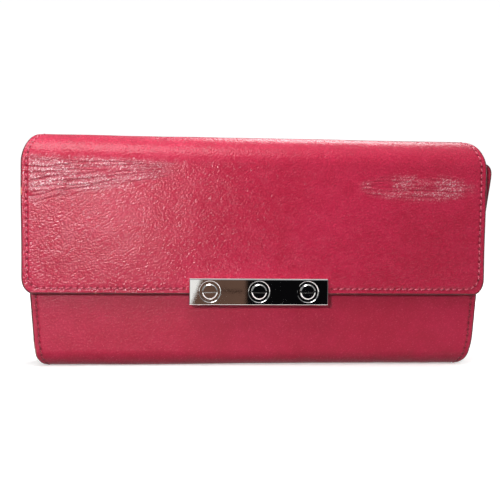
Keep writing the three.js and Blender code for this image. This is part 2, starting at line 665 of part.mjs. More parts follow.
addBack();
addFront();
addGussets();
addCoinPocket();
addRoll();
addFlap();

export default wallet;
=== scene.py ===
import math

import bmesh
import bpy
import numpy as np
from mathutils import Matrix, Vector


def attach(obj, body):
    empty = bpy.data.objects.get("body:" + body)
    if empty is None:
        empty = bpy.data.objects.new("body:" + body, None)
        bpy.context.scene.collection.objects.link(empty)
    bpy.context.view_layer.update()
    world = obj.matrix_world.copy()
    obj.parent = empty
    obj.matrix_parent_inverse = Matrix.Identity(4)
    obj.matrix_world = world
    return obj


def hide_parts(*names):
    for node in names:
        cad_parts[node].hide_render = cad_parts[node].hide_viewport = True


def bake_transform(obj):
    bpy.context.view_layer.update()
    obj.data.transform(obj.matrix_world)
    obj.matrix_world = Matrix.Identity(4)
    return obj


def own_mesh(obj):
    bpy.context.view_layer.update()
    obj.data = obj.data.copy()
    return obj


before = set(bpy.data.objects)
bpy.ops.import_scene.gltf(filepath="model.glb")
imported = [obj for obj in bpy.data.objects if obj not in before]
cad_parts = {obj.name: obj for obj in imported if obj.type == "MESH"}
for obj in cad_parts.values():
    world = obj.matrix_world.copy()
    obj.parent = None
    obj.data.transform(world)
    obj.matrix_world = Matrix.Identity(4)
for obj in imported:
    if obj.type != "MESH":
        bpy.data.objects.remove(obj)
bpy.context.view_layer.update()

# The long wallet's looks. Lengths are in millimetres here and become metres when a mesh is made.
# X is to the right seen from the front, the flap is at -Y and Z is up.

MM = 0.001

# ---------------------------------------------------------------- dimensions, as in the CAD part

HEIGHT = 97.0
FLAP_HALF = 97.0
ROLL_HALF = 91.5
ROLL_CORNER = 14.0
BASE_HALF = 92.0
FRONT_TOP_HALF = 99.4
FRONT_TOP = 87.0
FRONT_CORNER = 5.0
FLAP_EDGE = 30.6
FLAP_CORNER = 7.0
BASE_CORNER = 7.5
LEATHER_END = 1.25  # depth where the hide meets the lining at an edge
PANEL = 2.5  # hide, board and lining together
BACK_FACE = 15.4
FRONT_FACE = -9.0
FLAP_FACE = -12.7
POCKET_REAR = 6.5
POCKET_FRONT = -0.1
POCKET_MIDDLE = 3.2
CROWN_MIDDLE = 2.85
BACK_INNER = BACK_FACE - PANEL
FRONT_INNER = FRONT_FACE + PANEL
BANK = 1.8
BASE_R = 7.0
TOP_REAR_R = 9.0
TOP_FRONT_R = 12.0
PLAQUE_HALF = 29.0
PLAQUE_LOW = 26.4
PLAQUE_HIGH = 37.4
PLAQUE_BACK = -12.8
PLAQUE_FACE = -15.4
SCREW_Z = (PLAQUE_LOW + PLAQUE_HIGH) / 2
SCREW_PITCH = 20.5
BACK_LEAN = (FLAP_HALF - BASE_HALF) / (HEIGHT - ROLL_CORNER)
FRONT_LEAN = (FRONT_TOP_HALF - BASE_HALF) / FRONT_TOP
STITCH_INSET = 2.35
STITCH_PITCH = 2.72
LOOK = "_look"  # ends the names of the pieces made here
SPREAD = 0.9  # how far the worn flap has spread at each side
PATH_STEP = 0.05

# ---------------------------------------------------------------- noise


def noise(x, y, seed):
    """Smooth value noise in -1..1 on a unit grid."""
    def corner(i, j):
        n = np.sin(i * 127.1 + j * 311.7 + seed * 74.7) * 43758.5453
        return (n - np.floor(n)) * 2 - 1

    i, j = np.floor(x), np.floor(y)
    u, v = x - i, y - j
    u, v = u * u * (3 - 2 * u), v * v * (3 - 2 * v)
    low = corner(i, j) * (1 - u) + corner(i + 1, j) * u
    high = corner(i, j + 1) * (1 - u) + corner(i + 1, j + 1) * u
    return low * (1 - v) + high * v


def fbm(x, y, seed, octaves=3):
    total, weight, size = 0, 0, 1.0
    for k in range(octaves):
        total = total + noise(x / size, y / size, seed + k * 17) * size
        weight += size
        size *= 0.5
    return total / weight


def smooth(low, high, value):
    t = np.clip((value - low) / (high - low), 0, 1)
    return t * t * (3 - 2 * t)


# ---------------------------------------------------------------- paths in (y, z)


class Path:
    """A line of straights and bends in (y, z). s is the length along it, and depth goes in from its face."""

    def __init__(self, pieces):
        ys, zs = [], []
        for piece in pieces:
            if piece[0] == "line":
                (y0, z0), (y1, z1) = piece[1:]
                count = max(2, int(math.hypot(y1 - y0, z1 - z0) / PATH_STEP))
                t = np.linspace(0, 1, count, endpoint=False)
                ys.append(y0 + (y1 - y0) * t)
                zs.append(z0 + (z1 - z0) * t)
            else:
                (cy, cz), radius, a0, a1 = piece[1:]
                count = max(4, int(radius * abs(math.radians(a1 - a0)) / PATH_STEP))
                a = np.radians(np.linspace(a0, a1, count, endpoint=False))
                ys.append(cy + radius * np.cos(a))
                zs.append(cz + radius * np.sin(a))
        self.y, self.z = np.concatenate(ys), np.concatenate(zs)
        dy, dz = np.gradient(self.y), np.gradient(self.z)
        run = np.hypot(dy, dz)
        self.ny, self.nz = -dz / run, dy / run
        self.s = np.concatenate([[0], np.cumsum(np.hypot(np.diff(self.y), np.diff(self.z)))])

    def at(self, s):
        return np.interp(s, self.s, self.y), np.interp(s, self.s, self.z)

    def place(self, s, x, depth):
        y, z = self.at(s)
        ny, nz = np.interp(s, self.s, self.ny), np.interp(s, self.s, self.nz)
        return np.stack([x, y + ny * depth, z + nz * depth], -1)

    def find(self, y, z):
        """The s of the path's point nearest to (y, z)."""
        return float(self.s[np.argmin((self.y - y) ** 2 + (self.z - z) ** 2)])


HIDE = Path([
    ("line", (FRONT_FACE, FRONT_TOP + 3), (FRONT_FACE, BASE_R)),
    ("bend", (FRONT_FACE + BASE_R, BASE_R), BASE_R, 180, 270),
    ("line", (FRONT_FACE + BASE_R, 0), (BACK_FACE - BASE_R, 0)),
    ("bend", (BACK_FACE - BASE_R, BASE_R), BASE_R, 270, 360),
    ("line", (BACK_FACE, BASE_R), (BACK_FACE, HEIGHT - TOP_REAR_R)),
    ("bend", (BACK_FACE - TOP_REAR_R, HEIGHT - TOP_REAR_R), TOP_REAR_R, 0, 90),
    ("line", (BACK_FACE - TOP_REAR_R, HEIGHT), (FLAP_FACE + TOP_FRONT_R, HEIGHT)),
    ("bend", (FLAP_FACE + TOP_FRONT_R, HEIGHT - TOP_FRONT_R), TOP_FRONT_R, 90, 180),
    ("line", (FLAP_FACE, HEIGHT - TOP_FRONT_R), (FLAP_FACE, 20)),
])
S_FRONT = HIDE.find(FRONT_FACE, FRONT_TOP)
S_BASE = HIDE.find(POCKET_MIDDLE, 0)
S_CROWN = HIDE.find(CROWN_MIDDLE, HEIGHT)
S_FLAP = HIDE.find(FLAP_FACE, FLAP_EDGE)

# ---------------------------------------------------------------- half-widths at height z


def curve_half(z, start, control, end):
    """Half-width along a quadratic curve of (x, z) points, as a function of z."""
    t = np.linspace(0, 1, 60)
    x = (1 - t) ** 2 * start[0] + 2 * t * (1 - t) * control[0] + t * t * end[0]
    h = (1 - t) ** 2 * start[1] + 2 * t * (1 - t) * control[1] + t * t * end[1]
    order = np.argsort(h)
    return np.interp(z, h[order], x[order])


def base_corner(z, lean):
    start = (BASE_HALF + lean * BASE_CORNER, BASE_CORNER)
    return curve_half(z, start, (BASE_HALF, -1), (BASE_HALF - BASE_CORNER, -1))


def crown_half(z):
    start = (FLAP_HALF, HEIGHT - ROLL_CORNER)
    return curve_half(z, start, (FLAP_HALF, HEIGHT - 1), (ROLL_HALF, HEIGHT))


def back_half(z):
    plain = BASE_HALF + BACK_LEAN * z
    half = np.where(z < BASE_CORNER, base_corner(z, BACK_LEAN), plain)
    return np.where(z > HEIGHT - ROLL_CORNER, crown_half(z), half)


def front_half(z):
    plain = BASE_HALF + FRONT_LEAN * z + 0.5 * smooth(4, 12, z) * smooth(FRONT_TOP - 12, FRONT_TOP - 30, z)
    half = np.where(z < BASE_CORNER, base_corner(z, FRONT_LEAN), plain)
    top = FRONT_TOP - FRONT_CORNER
    start = (BASE_HALF + FRONT_LEAN * top, top)
    end = (FRONT_TOP_HALF - FRONT_CORNER, FRONT_TOP)
    return np.where(z > top, curve_half(z, start, (FRONT_TOP_HALF, FRONT_TOP), end), half)


def flap_half(z):
    """The worn flap has spread by up to a millimetre below the roll."""
    top = FLAP_EDGE + FLAP_CORNER
    end = (FLAP_HALF - FLAP_CORNER, FLAP_EDGE)
    low = curve_half(z, (FLAP_HALF, top), (FLAP_HALF, FLAP_EDGE), end)
    half = np.where(z > HEIGHT - ROLL_CORNER, crown_half(z), np.where(z < top, low, FLAP_HALF))
    return half + SPREAD * smooth(HEIGHT - 1, HEIGHT - 12, z) * (1 - 0.45 * smooth(75, 45, z))


# ---------------------------------------------------------------- meshes


def shade(mesh, angle=None):
    """Smooth shading, with the edges kept sharp where faces turn by more than this angle in degrees."""
    mesh.polygons.foreach_set("use_smooth", np.ones(len(mesh.polygons), bool))
    if angle is not None:
        mesh.set_sharp_from_angle(angle=math.radians(angle))


def make(name, points, faces, slots, materials, attributes=None, auto=None):
    """A mesh object from points in mm, with a material index for each face."""
    name = name.replace(" ", "_") + LOOK
    mesh = bpy.data.meshes.new(name)
    mesh.from_pydata((np.asarray(points) * MM).tolist(), [], faces)
    for material in materials:
        mesh.materials.append(material)
    if slots is not None:
        mesh.polygons.foreach_set("material_index", np.asarray(slots, np.int32))
    for key, values in (attributes or {}).items():
        values = np.asarray(values, np.float32)
        kind = "FLOAT" if values.ndim == 1 else "FLOAT_VECTOR"
        layer = mesh.attributes.new(key, kind, "POINT")
        layer.data.foreach_set("value" if values.ndim == 1 else "vector", values.ravel())
    shade(mesh)
    mesh.validate()
    mesh.update()
    if auto is not None:
        mesh.set_sharp_from_angle(angle=math.radians(auto))
    obj = bpy.data.objects.new(name, mesh)
    bpy.context.scene.collection.objects.link(obj)
    return obj


def apply(obj):
    """Turns the object's modifiers into its mesh."""
    graph = bpy.context.evaluated_depsgraph_get()
    mesh = bpy.data.meshes.new_from_object(obj.evaluated_get(graph))
    obj.modifiers.clear()
    obj.data = mesh


def round_edges(obj, width):
    rounding = obj.modifiers.new("round", "BEVEL")
    rounding.width = width * MM
    rounding.segments = 2
    rounding.limit_method = "ANGLE"
    rounding.angle_limit = math.radians(40)


def grid_faces(rows, cols):
    i, j = np.meshgrid(np.arange(rows - 1), np.arange(cols - 1), indexing="ij")
    a = (i * cols + j).ravel()
    return np.stack([a, a + 1, a + cols + 1, a + cols], -1)


def tube_faces(first, rings, sides):
    """The sides and both ends of a tube whose points are rings, one after another from index first."""
    faces = []
    for ring in range(first, first + (rings - 1) * sides, sides):
        for q in range(sides):
            r = (q + 1) % sides
            faces.append((ring + q, ring + r, ring + sides + r, ring + sides + q))
    faces.append(tuple(first + q for q in reversed(range(sides))))
    faces.append(tuple(first + (rings - 1) * sides + q for q in range(sides)))
    return faces


def thin_piece(name, grid, material, thickness, rounding):
    """A thin piece with rounded edges, from a grid of points on its middle surface."""
    obj = make(name, grid.reshape(-1, 3), grid_faces(*grid.shape[:2]).tolist(), None, [material])
    solid = obj.modifiers.new("solid", "SOLIDIFY")
    solid.thickness = thickness * MM
    solid.offset = 0
    solid.use_even_offset = True
    round_edges(obj, rounding)
    apply(obj)
    obj.data.set_sharp_from_angle(angle=math.radians(50))
    return obj


def drain(work):
    """The points and faces of a bmesh, which is then freed."""
    work.verts.index_update()
    points = np.array([v.co for v in work.verts])
    faces = [[v.index for v in f.verts] for f in work.faces]
    work.free()
    return points, faces


def settle(obj, body, slot, *nodes):
    """Puts a finished piece on its body, in the place of these CAD nodes, which it hides; its finish (slot)
    is not used.
    """
    if nodes:
        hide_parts(*nodes)
    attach(obj, body)


# Distances from a side edge where columns stand, close together at the rim and along the stitches.
EDGE_STEPS = np.array([0, 0.3, 0.7, 1.15, 1.55, 1.85, 2.1, 2.35, 2.6, 2.85, 3.15, 3.6, 4.2, 5.0])


def columns(half, step):
    """Column positions across a row of the given half-widths, as a grid."""
    middle_half = half - EDGE_STEPS[-1]
    count = max(2, int(round(2 * float(np.max(middle_half)) / step)))
    t = np.linspace(-1, 1, count + 1)[1:-1]
    left = -half[:, None] + EDGE_STEPS[None, :]
    middle = middle_half[:, None] * t[None, :]
    return np.concatenate([left, middle, -left[:, ::-1]], 1)


def rim_steps(far):
    """(offset outwards, depth) round a sheet's edge, from its face to depth far."""
    radius = min(0.62, far * 0.7)
    turn = np.radians([22.5, 45, 67.5, 90])
    steps = [(radius * math.sin(a), radius * (1 - math.cos(a))) for a in turn]
    steps.append((radius, max(far - 0.18, radius)))
    steps.append((radius - 0.12, far))
    steps.append((radius - 0.7, far + 0.02))
    return radius, steps


def boundary(n, m, closed):
    """Indices round a grid's edges, with the outside on the walker's left, and whether they close."""
    left = [i * m for i in range(n)]
    right = [i * m + m - 1 for i in range(n)]
    low = [(n - 1) * m + j for j in range(1, m - 1)]
    top = list(range(m - 2, 0, -1))
    if closed == "end":
        return [left + low + right[::-1]], False
    if closed == "start":
        return [right[::-1] + top + left], False
    if closed == "both":
        return [left + low + right[::-1] + top], True
    return [left, right[::-1]], False


def slope(values, loop):
    if loop:
        return (np.roll(values, -1) - np.roll(values, 1)) / 2
    return np.gradient(values)


def sheet(path, rows, half_at, height, depth=0.0, towards=1, far=LEATHER_END, step=1.0, closed="",
          shift=None):
    """A panel of leather that follows path, with its side edges and closed ends rounded over.

    rows are the s of its grid rows. height(s, x, inset) lifts the face, and shift(s, x) moves it along
    the path. depth is the face's depth, and towards is 1 where the leather lies deeper than the face.
    """
    radius, steps = rim_steps(far)
    rows = np.asarray(rows, float)
    _, z = path.at(rows)
    half = half_at(z) - radius
    x = columns(half, step)
    s = np.repeat(rows[:, None], x.shape[1], 1)
    n, m = x.shape
    inset = half[:, None] - np.abs(x)
    if closed in ("end", "both"):
        inset = np.minimum(inset, rows[-1] - s)
    if closed in ("start", "both"):
        inset = np.minimum(inset, s - rows[0])
    if shift:
        s = s + shift(s, x)
    lift = height(s, x, inset + radius)
    s, x, lift = s.ravel(), x.ravel(), lift.ravel()
    points = [path.place(s, x, depth - towards * lift)]
    skin = [np.stack([x, s, 0 * s], -1)]
    faces = [grid_faces(n, m)]
    slots = [np.zeros(len(faces[0]), int)]
    total = n * m
    chains, loop = boundary(n, m, closed)
    for chain in chains:
        chain = np.array(chain)
        cs, cx, cl = s[chain], x[chain], lift[chain]
        ts, tx = slope(cs, loop), slope(cx, loop)
        run = np.hypot(ts, tx) + 1e-9
        out_s, out_x = tx / run, -ts / run
        previous = chain
        for out, deep in steps:
            shrink = max(0.0, 1 - deep / far)
            at = depth + towards * (deep - cl * shrink)
            points.append(path.place(cs + out_s * out, cx + out_x * out, at))
            skin.append(np.stack([cx + out_x * (out + deep), cs + out_s * (out + deep), 0 * cs], -1))
            ring = np.arange(total, total + len(chain))
            ahead = slice(None) if loop else slice(0, -1)
            quads = np.stack([previous, np.roll(previous, -1), np.roll(ring, -1), ring], -1)[ahead]
            faces.append(quads)
            slots.append(np.ones(len(quads), int))
            previous = ring
            total += len(chain)
    faces = np.concatenate(faces)
    if towards > 0:
        faces = faces[:, ::-1]
    return np.concatenate(points), faces, np.concatenate(slots), np.concatenate(skin)


def assemble(name, parts, materials, marks=None):
    """One object from sheets. marks(s, x) gives each point's values to paint by, by name."""
    points, faces, slots, skins, total = [], [], [], [], 0
    for part_points, part_faces, part_slots, part_skin in parts:
        points.append(part_points)
        faces.append(part_faces + total)
        slots.append(part_slots)
        skins.append(part_skin)
        total += len(part_points)
    skin = np.concatenate(skins)
    attributes = {"skin": skin}
    if marks:
        attributes.update(marks(skin[:, 1], skin[:, 0]))
    faces = np.concatenate(faces).tolist()
    return make(name, np.concatenate(points), faces, np.concatenate(slots), materials, attributes)


def step_rows(start, end, step):
    return np.linspace(start, end, max(2, int(round(abs(end - start) / step)) + 1))


def corner_rows(end, radius, sign):
    """Rows that crowd together towards a rounded corner's end."""
    rim = rim_steps(LEATHER_END)[0]
    a = np.linspace(0, math.pi / 2, 13)
    reach = (radius - rim) * (1 - np.sin(a))
    return end - sign * (rim + reach)


# ---------------------------------------------------------------- stitch lines


def walk(points, pitch, start=0.0):
    """Points at equal distances along a polyline: the needle holes of a row of stitches."""
    points = np.asarray(points, float)
    run = np.concatenate([[0], np.cumsum(np.hypot(*np.diff(points, axis=0).T))])
    count = int((run[-1] - start) / pitch)
    at = start + np.arange(count + 1) * pitch
    return np.stack([np.interp(at, run, points[:, k]) for k in (0, 1)], -1)


def side_line(path, half_at, s0, s1, inset, side):
    s = np.linspace(s0, s1, 400)
    _, z = path.at(s)
    x = side * (half_at(z) - inset)
    return np.stack([s, x], -1)


def flap_line(side):
    """Stitch line of the flap's side, its corner, and its lower edge as far as the plaque."""
    end = S_FLAP - STITCH_INSET
    radius = FLAP_CORNER - STITCH_INSET + 0.8
    straight = side_line(HIDE, flap_half, S_CROWN, end - radius, STITCH_INSET, side)
    a = np.linspace(0, math.pi / 2, 12)[1:]
    half = abs(float(straight[-1, 1]))
    bend = np.stack([end - radius + radius * np.sin(a), side * (half - radius + radius * np.cos(a))], -1)
    last = np.array([[end, side * (PLAQUE_HALF + 1.0)]])
    return np.concatenate([straight, bend, last])


def dents(s, x, holes, radius, deep):
    """Small dimples at the needle holes."""
    total = np.zeros_like(s)
    for hs, hx in holes:
        near = (np.abs(s - hs) < 3 * radius) & (np.abs(x - hx) < 3 * radius)
        if near.any():
            gap = (s[near] - hs) ** 2 + (x[near] - hx) ** 2
            total[near] -= deep * np.exp(-gap / (2 * radius * radius))
    return total


def groove(inset):
    """The trough that the thread pulls along an edge."""
    pulled = -0.16 * np.exp(-((inset - STITCH_INSET) / 0.55) ** 2)
    return pulled - 0.10 * smooth(STITCH_INSET, STITCH_INSET - 1.2, inset)


def thread(name, path, lines, depth, towards, materials, moved=None, tilt=13, thick=0.3):
    """Rows of slanted stitches, each a short arch of thread that dives into the leather at both ends.

    moved(points) shifts them with their panel.
    """
    sides, rings, length = 7, 9, 2.15
    t = np.linspace(-1, 1, rings)
    points, faces, count = [], [], 0
    for holes in lines:
        middle = (holes[:-1] + holes[1:]) / 2
        along = holes[1:] - holes[:-1]
        along = along / np.hypot(*along.T)[:, None]
        for k in range(len(middle)):
            jitter = math.sin(k * 12.9898 + len(points)) * 2.0
            a = math.radians(tilt + jitter)
            c, sn = math.cos(a), math.sin(a)
            ds, dx = along[k][0] * c - along[k][1] * sn, along[k][0] * sn + along[k][1] * c
            radius = thick * np.sqrt(np.clip(1 - np.abs(t) ** 4 * 0.75, 0.05, 1))
            arch = 0.10 - 0.42 * np.abs(t) ** 2.6
            angles = np.linspace(0, 2 * math.pi, sides, endpoint=False)
            bs = middle[k][0] + ds * t * length / 2
            bx = middle[k][1] + dx * t * length / 2
            for r in range(rings):
                off = radius[r] * np.cos(angles)
                up = arch[r] + radius[r] * np.sin(angles) * 0.8
                points.append(path.place(bs[r] - dx * off, bx[r] + ds * off, depth - towards * up))
            faces += tube_faces(count, rings, sides)
            count += rings * sides
    points = np.concatenate(points)
    return make(name, moved(points) if moved else points, faces, None, materials)


# ---------------------------------------------------------------- materials


class Nodes:
    """A material's node tree, with short ways to add nodes and link them."""

    def __init__(self, name):
        self.material = bpy.data.materials.new(name)
        self.material.use_nodes = True
        self.tree = self.material.node_tree
        self.shader = self.tree.nodes["Principled BSDF"]

    def add(self, kind, settings=None, **inputs):
        node = self.tree.nodes.new(kind)
        for key, value in (settings or {}).items():
            setattr(node, key, value)
        for key, value in inputs.items():
            self.put(node, key.replace("_", " "), value)
        return node

    def put(self, node, key, value):
        socket = node.inputs[int(key[1:])] if key[0] == "#" else node.inputs[key]
        if isinstance(value, bpy.types.NodeSocket):
            self.tree.links.new(value, socket)
        else:
            socket.default_value = value

    def math(self, operation, a, b):
        node = self.add("ShaderNodeMath", {"operation": operation})
        for k, value in enumerate((a, b)):
            self.put(node, f"#{k}", value)
        return node.outputs[0]

    def spread(self, value, low, high, to_low=0.0, to_high=1.0):
        node = self.add("ShaderNodeMapRange", {"interpolation_type": "SMOOTHSTEP"})
        for k, item in enumerate((value, low, high, to_low, to_high)):
            self.put(node, f"#{k}", item)
        return node.outputs[0]

    def mix(self, share, a, b):
        node = self.add("ShaderNodeMix", {"data_type": "RGBA"})
        for key, value in (("#0", share), ("#6", a), ("#7", b)):
            self.put(node, key, value)
        return node.outputs[2]

    def noise(self, vector, scale, detail=2.0, rough=0.5):
        node = self.add("ShaderNodeTexNoise", Vector=vector, Scale=scale, Detail=detail, Roughness=rough)
        return node.outputs["Fac"]

    def cells(self, vector, scale, feature="F1", smoothness=0.5):
        node = self.add("ShaderNodeTexVoronoi", {"feature": feature}, Vector=vector, Scale=scale)
        if feature == "SMOOTH_F1":
            self.put(node, "Smoothness", smoothness)
        return node.outputs["Distance"]

    def bump(self, height, distance):
        return self.add("ShaderNodeBump", Height=height, Distance=distance * MM).outputs[0]

    def skin(self):
        """Each point's place on the flat hide, in mm."""
        return self.add("ShaderNodeAttribute", {"attribute_name": "skin"}).outputs["Vector"]

    def place(self, stretch=(1, 1, 1)):
        """Each point's place in the object, in mm."""
        at = self.add("ShaderNodeTexCoord").outputs["Object"]
        node = self.add("ShaderNodeVectorMath", {"operation": "MULTIPLY"})
        self.put(node, "#0", at)
        self.put(node, "#1", [k / MM for k in stretch])
        return node.outputs[0]

    def finish(self, **inputs):
        for key, value in inputs.items():
            self.put(self.shader, key.replace("_", " "), value)
        return self.material


def rgb(red, green, blue):
    """A colour from its 0 to 255 screen values."""
    def linear(v):
        v /= 255
        return v / 12.92 if v <= 0.04045 else ((v + 0.055) / 1.055) ** 2.4

    return (linear(red), linear(green), linear(blue), 1.0)


def leather(name, light, deep, rub_sheen_tint=None, grain=1.0, gloss=0.46, relief=0.085, flat=False):
    """Pebbled leather: uneven dye, painted shade between the grains and painted glints on them, paler where
    it is rubbed and where a sheen is painted, and painted shade in creases and needle holes.
    """
    n = Nodes(name)
    at = n.place() if flat else n.skin()
    cloud = n.noise(at, 0.022, 3.0, 0.6)
    patch = n.noise(at, 0.16, 3.0, 0.6)
    slant = {"vector_type": "TEXTURE"}
    turned = n.add("ShaderNodeMapping", slant, Vector=at, Rotation=(0, 0, -0.6), Scale=(1.55, 1.0, 1.0))
    turned = turned.outputs[0]
    drift = n.add("ShaderNodeTexNoise", Vector=turned, Scale=0.9 * grain, Detail=2.0).outputs["Color"]
    warp = n.add("ShaderNodeVectorMath", {"operation": "MULTIPLY_ADD"})
    for k, value in enumerate((drift, (0.7 / grain,) * 3, turned)):
        n.put(warp, f"#{k}", value)
    warped = warp.outputs[0]
    pebbles = n.cells(warped, 1.45 * grain, "SMOOTH_F1", 0.3)
    wrinkles = n.noise(turned, 1.0 * grain, 1.0, 0.5)
    pores = n.noise(turned, 2.6 * grain, 3.0, 0.65)
    share = n.math("ADD", n.math("MULTIPLY", cloud, 0.65), n.math("MULTIPLY", patch, 0.35))
    dye = n.mix(n.spread(share, 0.36, 0.64), deep, light)
    # Painted shade: the colour is darker in the hollows between the grains.
    shade = n.spread(pebbles, 0.20, 0.60, 1.03, 0.93)
    speck = n.spread(pores, 0.3, 0.7, 0.97, 1.03)
    tone = n.add("ShaderNodeVectorMath", {"operation": "SCALE"})
    n.put(tone, "#0", dye)
    n.put(tone, "Scale", n.math("MULTIPLY", shade, speck))
    # Painted glints: pale pink specks on the tops of the grains stand in for highlights.
    painted_glint = n.math("MULTIPLY", n.spread(pores, 0.50, 0.68), n.spread(pebbles, 0.45, 0.15, 0.0, 0.2))
    colour = n.mix(painted_glint, tone.outputs[0], rgb(255, 176, 192))
    rough = n.spread(patch, 0.3, 0.7, gloss - 0.03, gloss + 0.05)
    # The pale tint mixed in below is partly rubbed wear and partly painted sheen on the flap's crease
    # ridges.
    if rub_sheen_tint:
        wear = n.add("ShaderNodeAttribute", {"attribute_name": "wear"}).outputs["Fac"]
        grains = n.spread(pebbles, 0.55, 0.3, 0.2, 1.15)
        rubbed = n.math("MULTIPLY", n.spread(pores, 0.42, 0.55, 0.05, 1.15), grains)
        colour = n.mix(n.math("MULTIPLY", rubbed, wear), colour, rub_sheen_tint)
        # Painted shade: needle holes and crease bottoms are darkened.
        pit = n.add("ShaderNodeAttribute", {"attribute_name": "pit"}).outputs["Fac"]
        colour = n.mix(pit, colour, [c * 0.25 for c in deep[:3]] + [1.0])
    height = n.math("ADD", n.math("MULTIPLY", pebbles, -1.0), n.math("MULTIPLY", pores, 0.06))
    height = n.math("ADD", height, n.math("MULTIPLY", wrinkles, 0.12))
    n.finish(Base_Color=colour, Roughness=rough, Normal=n.bump(height, relief))
    n.shader.inputs["Specular IOR Level"].default_value = 0.36
    return n.material


def edge_paint(name, colour, bare, spots=(), worn=0.62):
    """Painted leather edges, scuffed here and there, with the paint gone at (x, s, radius) spots."""
    n = Nodes(name)
    at = n.skin()
    rubbed = n.spread(n.noise(at, 0.35, 4.0, 0.7), worn - 0.06, worn + 0.08, 0.0, 0.6)
    for x, s, radius in spots:
        gap = n.add("ShaderNodeVectorMath", {"operation": "DISTANCE"})
        n.put(gap, "#0", at)
        n.put(gap, "#1", (x, s, 0))
        ragged = n.math("ADD", gap.outputs["Value"], n.noise(at, 1.3))
        rubbed = n.math("MAXIMUM", rubbed, n.spread(ragged, radius, radius + 1.0, 1.0, 0.0))
    tone = n.mix(rubbed, colour, bare)
    normal = n.bump(n.noise(at, 1.1, 4.0, 0.6), 0.12)
    rough = n.spread(n.noise(at, 0.5), 0.3, 0.7, 0.36, 0.6)
    return n.finish(Base_Color=tone, Roughness=rough, Normal=normal)


def cloth(name, colour, dark):
    """A woven tape: fine crossed ribs."""
    n = Nodes(name)
    at = n.place()
    wave = n.add("ShaderNodeTexWave", {"bands_direction": "X"}, Vector=at, Scale=0.55, Distortion=0.4)
    cross = n.add("ShaderNodeTexWave", {"bands_direction": "Z"}, Vector=at, Scale=0.55, Distortion=0.4)
    weave = n.math("MULTIPLY", wave.outputs["Fac"], cross.outputs["Fac"])
    tone = n.mix(n.spread(weave, 0.1, 0.7), dark, colour)
    return n.finish(Base_Color=tone, Roughness=0.85, Normal=n.bump(weave, 0.12))


def strand(name, colour, dark):
    """Twisted sewing thread."""
    n = Nodes(name)
    at = n.place()
    twist = n.add("ShaderNodeTexWave", {"bands_direction": "DIAGONAL"}, Vector=at, Scale=0.8, Distortion=0.6)
    tone = n.mix(n.spread(twist.outputs["Fac"], 0.1, 0.8), dark, colour)
    return n.finish(Base_Color=tone, Roughness=0.55, Normal=n.bump(twist.outputs["Fac"], 0.08))


def metal(name, colour, rough, scratched=1.0):
    """Plated metal with smudges and hairline scratches."""
    n = Nodes(name)
    at = n.place()
    smudge = n.noise(at, 0.09, 4.0, 0.65)
    hair = n.noise(n.place((0.06, 1.0, 1.6)), 2.4, 3.0, 0.7)
    marks = n.spread(hair, 0.62, 0.70)
    level = n.math("ADD", n.spread(smudge, 0.45, 0.75, rough, rough + 0.07), n.math("MULTIPLY", marks, 0.05))
    normal = n.bump(hair, 0.0022 * scratched)
    tone = n.mix(n.spread(smudge, 0.3, 0.8), colour, [c * 0.9 for c in colour[:3]] + [1.0])
    n.finish(Base_Color=tone, Roughness=level, Normal=normal)
    n.shader.inputs["Metallic"].default_value = 1.0
    return n.material


def fibre(name, colour, dark):
    """Brown leather board."""
    n = Nodes(name)
    at = n.place()
    fleck = n.noise(at, 1.2, 5.0, 0.7)
    return n.finish(Base_Color=n.mix(fleck, dark, colour), Roughness=0.9, Normal=n.bump(fleck, 0.1))


# rgb(250, 214, 220) is the tint for rubbed wear and painted sheen.
HIDE_SKIN = leather("hide", rgb(206, 38, 77), rgb(193, 31, 66), rub_sheen_tint=rgb(250, 214, 220), gloss=0.25,
                    relief=0.135)
# The front's leather is a touch darker than the flap's: painted shade under the flap.
FRONT_SKIN = leather("front hide", rgb(202, 37, 75), rgb(189, 30, 64), rub_sheen_tint=rgb(242, 200, 208), gloss=0.36,
                     relief=0.08)
LINING_SKIN = leather("lining", rgb(196, 48, 80), rgb(178, 40, 70), grain=1.5, gloss=0.55, relief=0.04)
INNER_SKIN = leather("inner leather", rgb(192, 46, 78), rgb(172, 38, 68), grain=1.6, gloss=0.58,
                     relief=0.035, flat=True)
PAINT = edge_paint("edge paint", rgb(96, 20, 32), rgb(160, 92, 90),
                   [(-BASE_HALF, HIDE.find(FRONT_FACE, 6), 4.5)])
WORN_SPOTS = [(-98.4, S_FLAP - up, radius) for up, radius in ((42, 1.7), (58, 0.7), (50, 0.5))]
WORN_SPOTS += [(-98.5, S_FLAP - 31, 0.6), (-98.3, S_FLAP - 12, 0.5)]
PAINT_WORN = edge_paint("worn edge paint", rgb(104, 26, 38), rgb(226, 140, 116), WORN_SPOTS, 0.63)
THREAD = strand("thread", rgb(244, 128, 150), rgb(190, 58, 84))
# A darker copy of the thread: painted shade for the stitches on the back and front, which lie in shadow.
THREAD_SHADED = strand("deep thread", rgb(186, 54, 76), rgb(120, 24, 42))
TAPE = cloth("zip tape", rgb(168, 44, 72), rgb(110, 24, 44))
BOARD = fibre("board", rgb(158, 124, 92), rgb(112, 84, 60))
CHROME = metal("plaque metal", (0.83, 0.82, 0.81, 1.0), 0.02)
NICKEL = metal("hardware metal", (0.76, 0.75, 0.74, 1.0), 0.16, 2.0)

# ---------------------------------------------------------------- the hide


SIDES = (-1, 1)
FLAP_LINES = [walk(flap_line(side), STITCH_PITCH, 1.2) for side in SIDES]
BACK_LINES = [walk(side_line(HIDE, back_half, S_BASE, S_CROWN, STITCH_INSET, side), STITCH_PITCH, 1.0)
              for side in SIDES]
FRONT_LINES = [walk(side_line(HIDE, front_half, S_BASE, S_FRONT + 3, STITCH_INSET, side), STITCH_PITCH, 1.0)
               for side in SIDES]


def above_edge(s):
    """Distance up the flap from its lower edge."""
    return S_FLAP - s


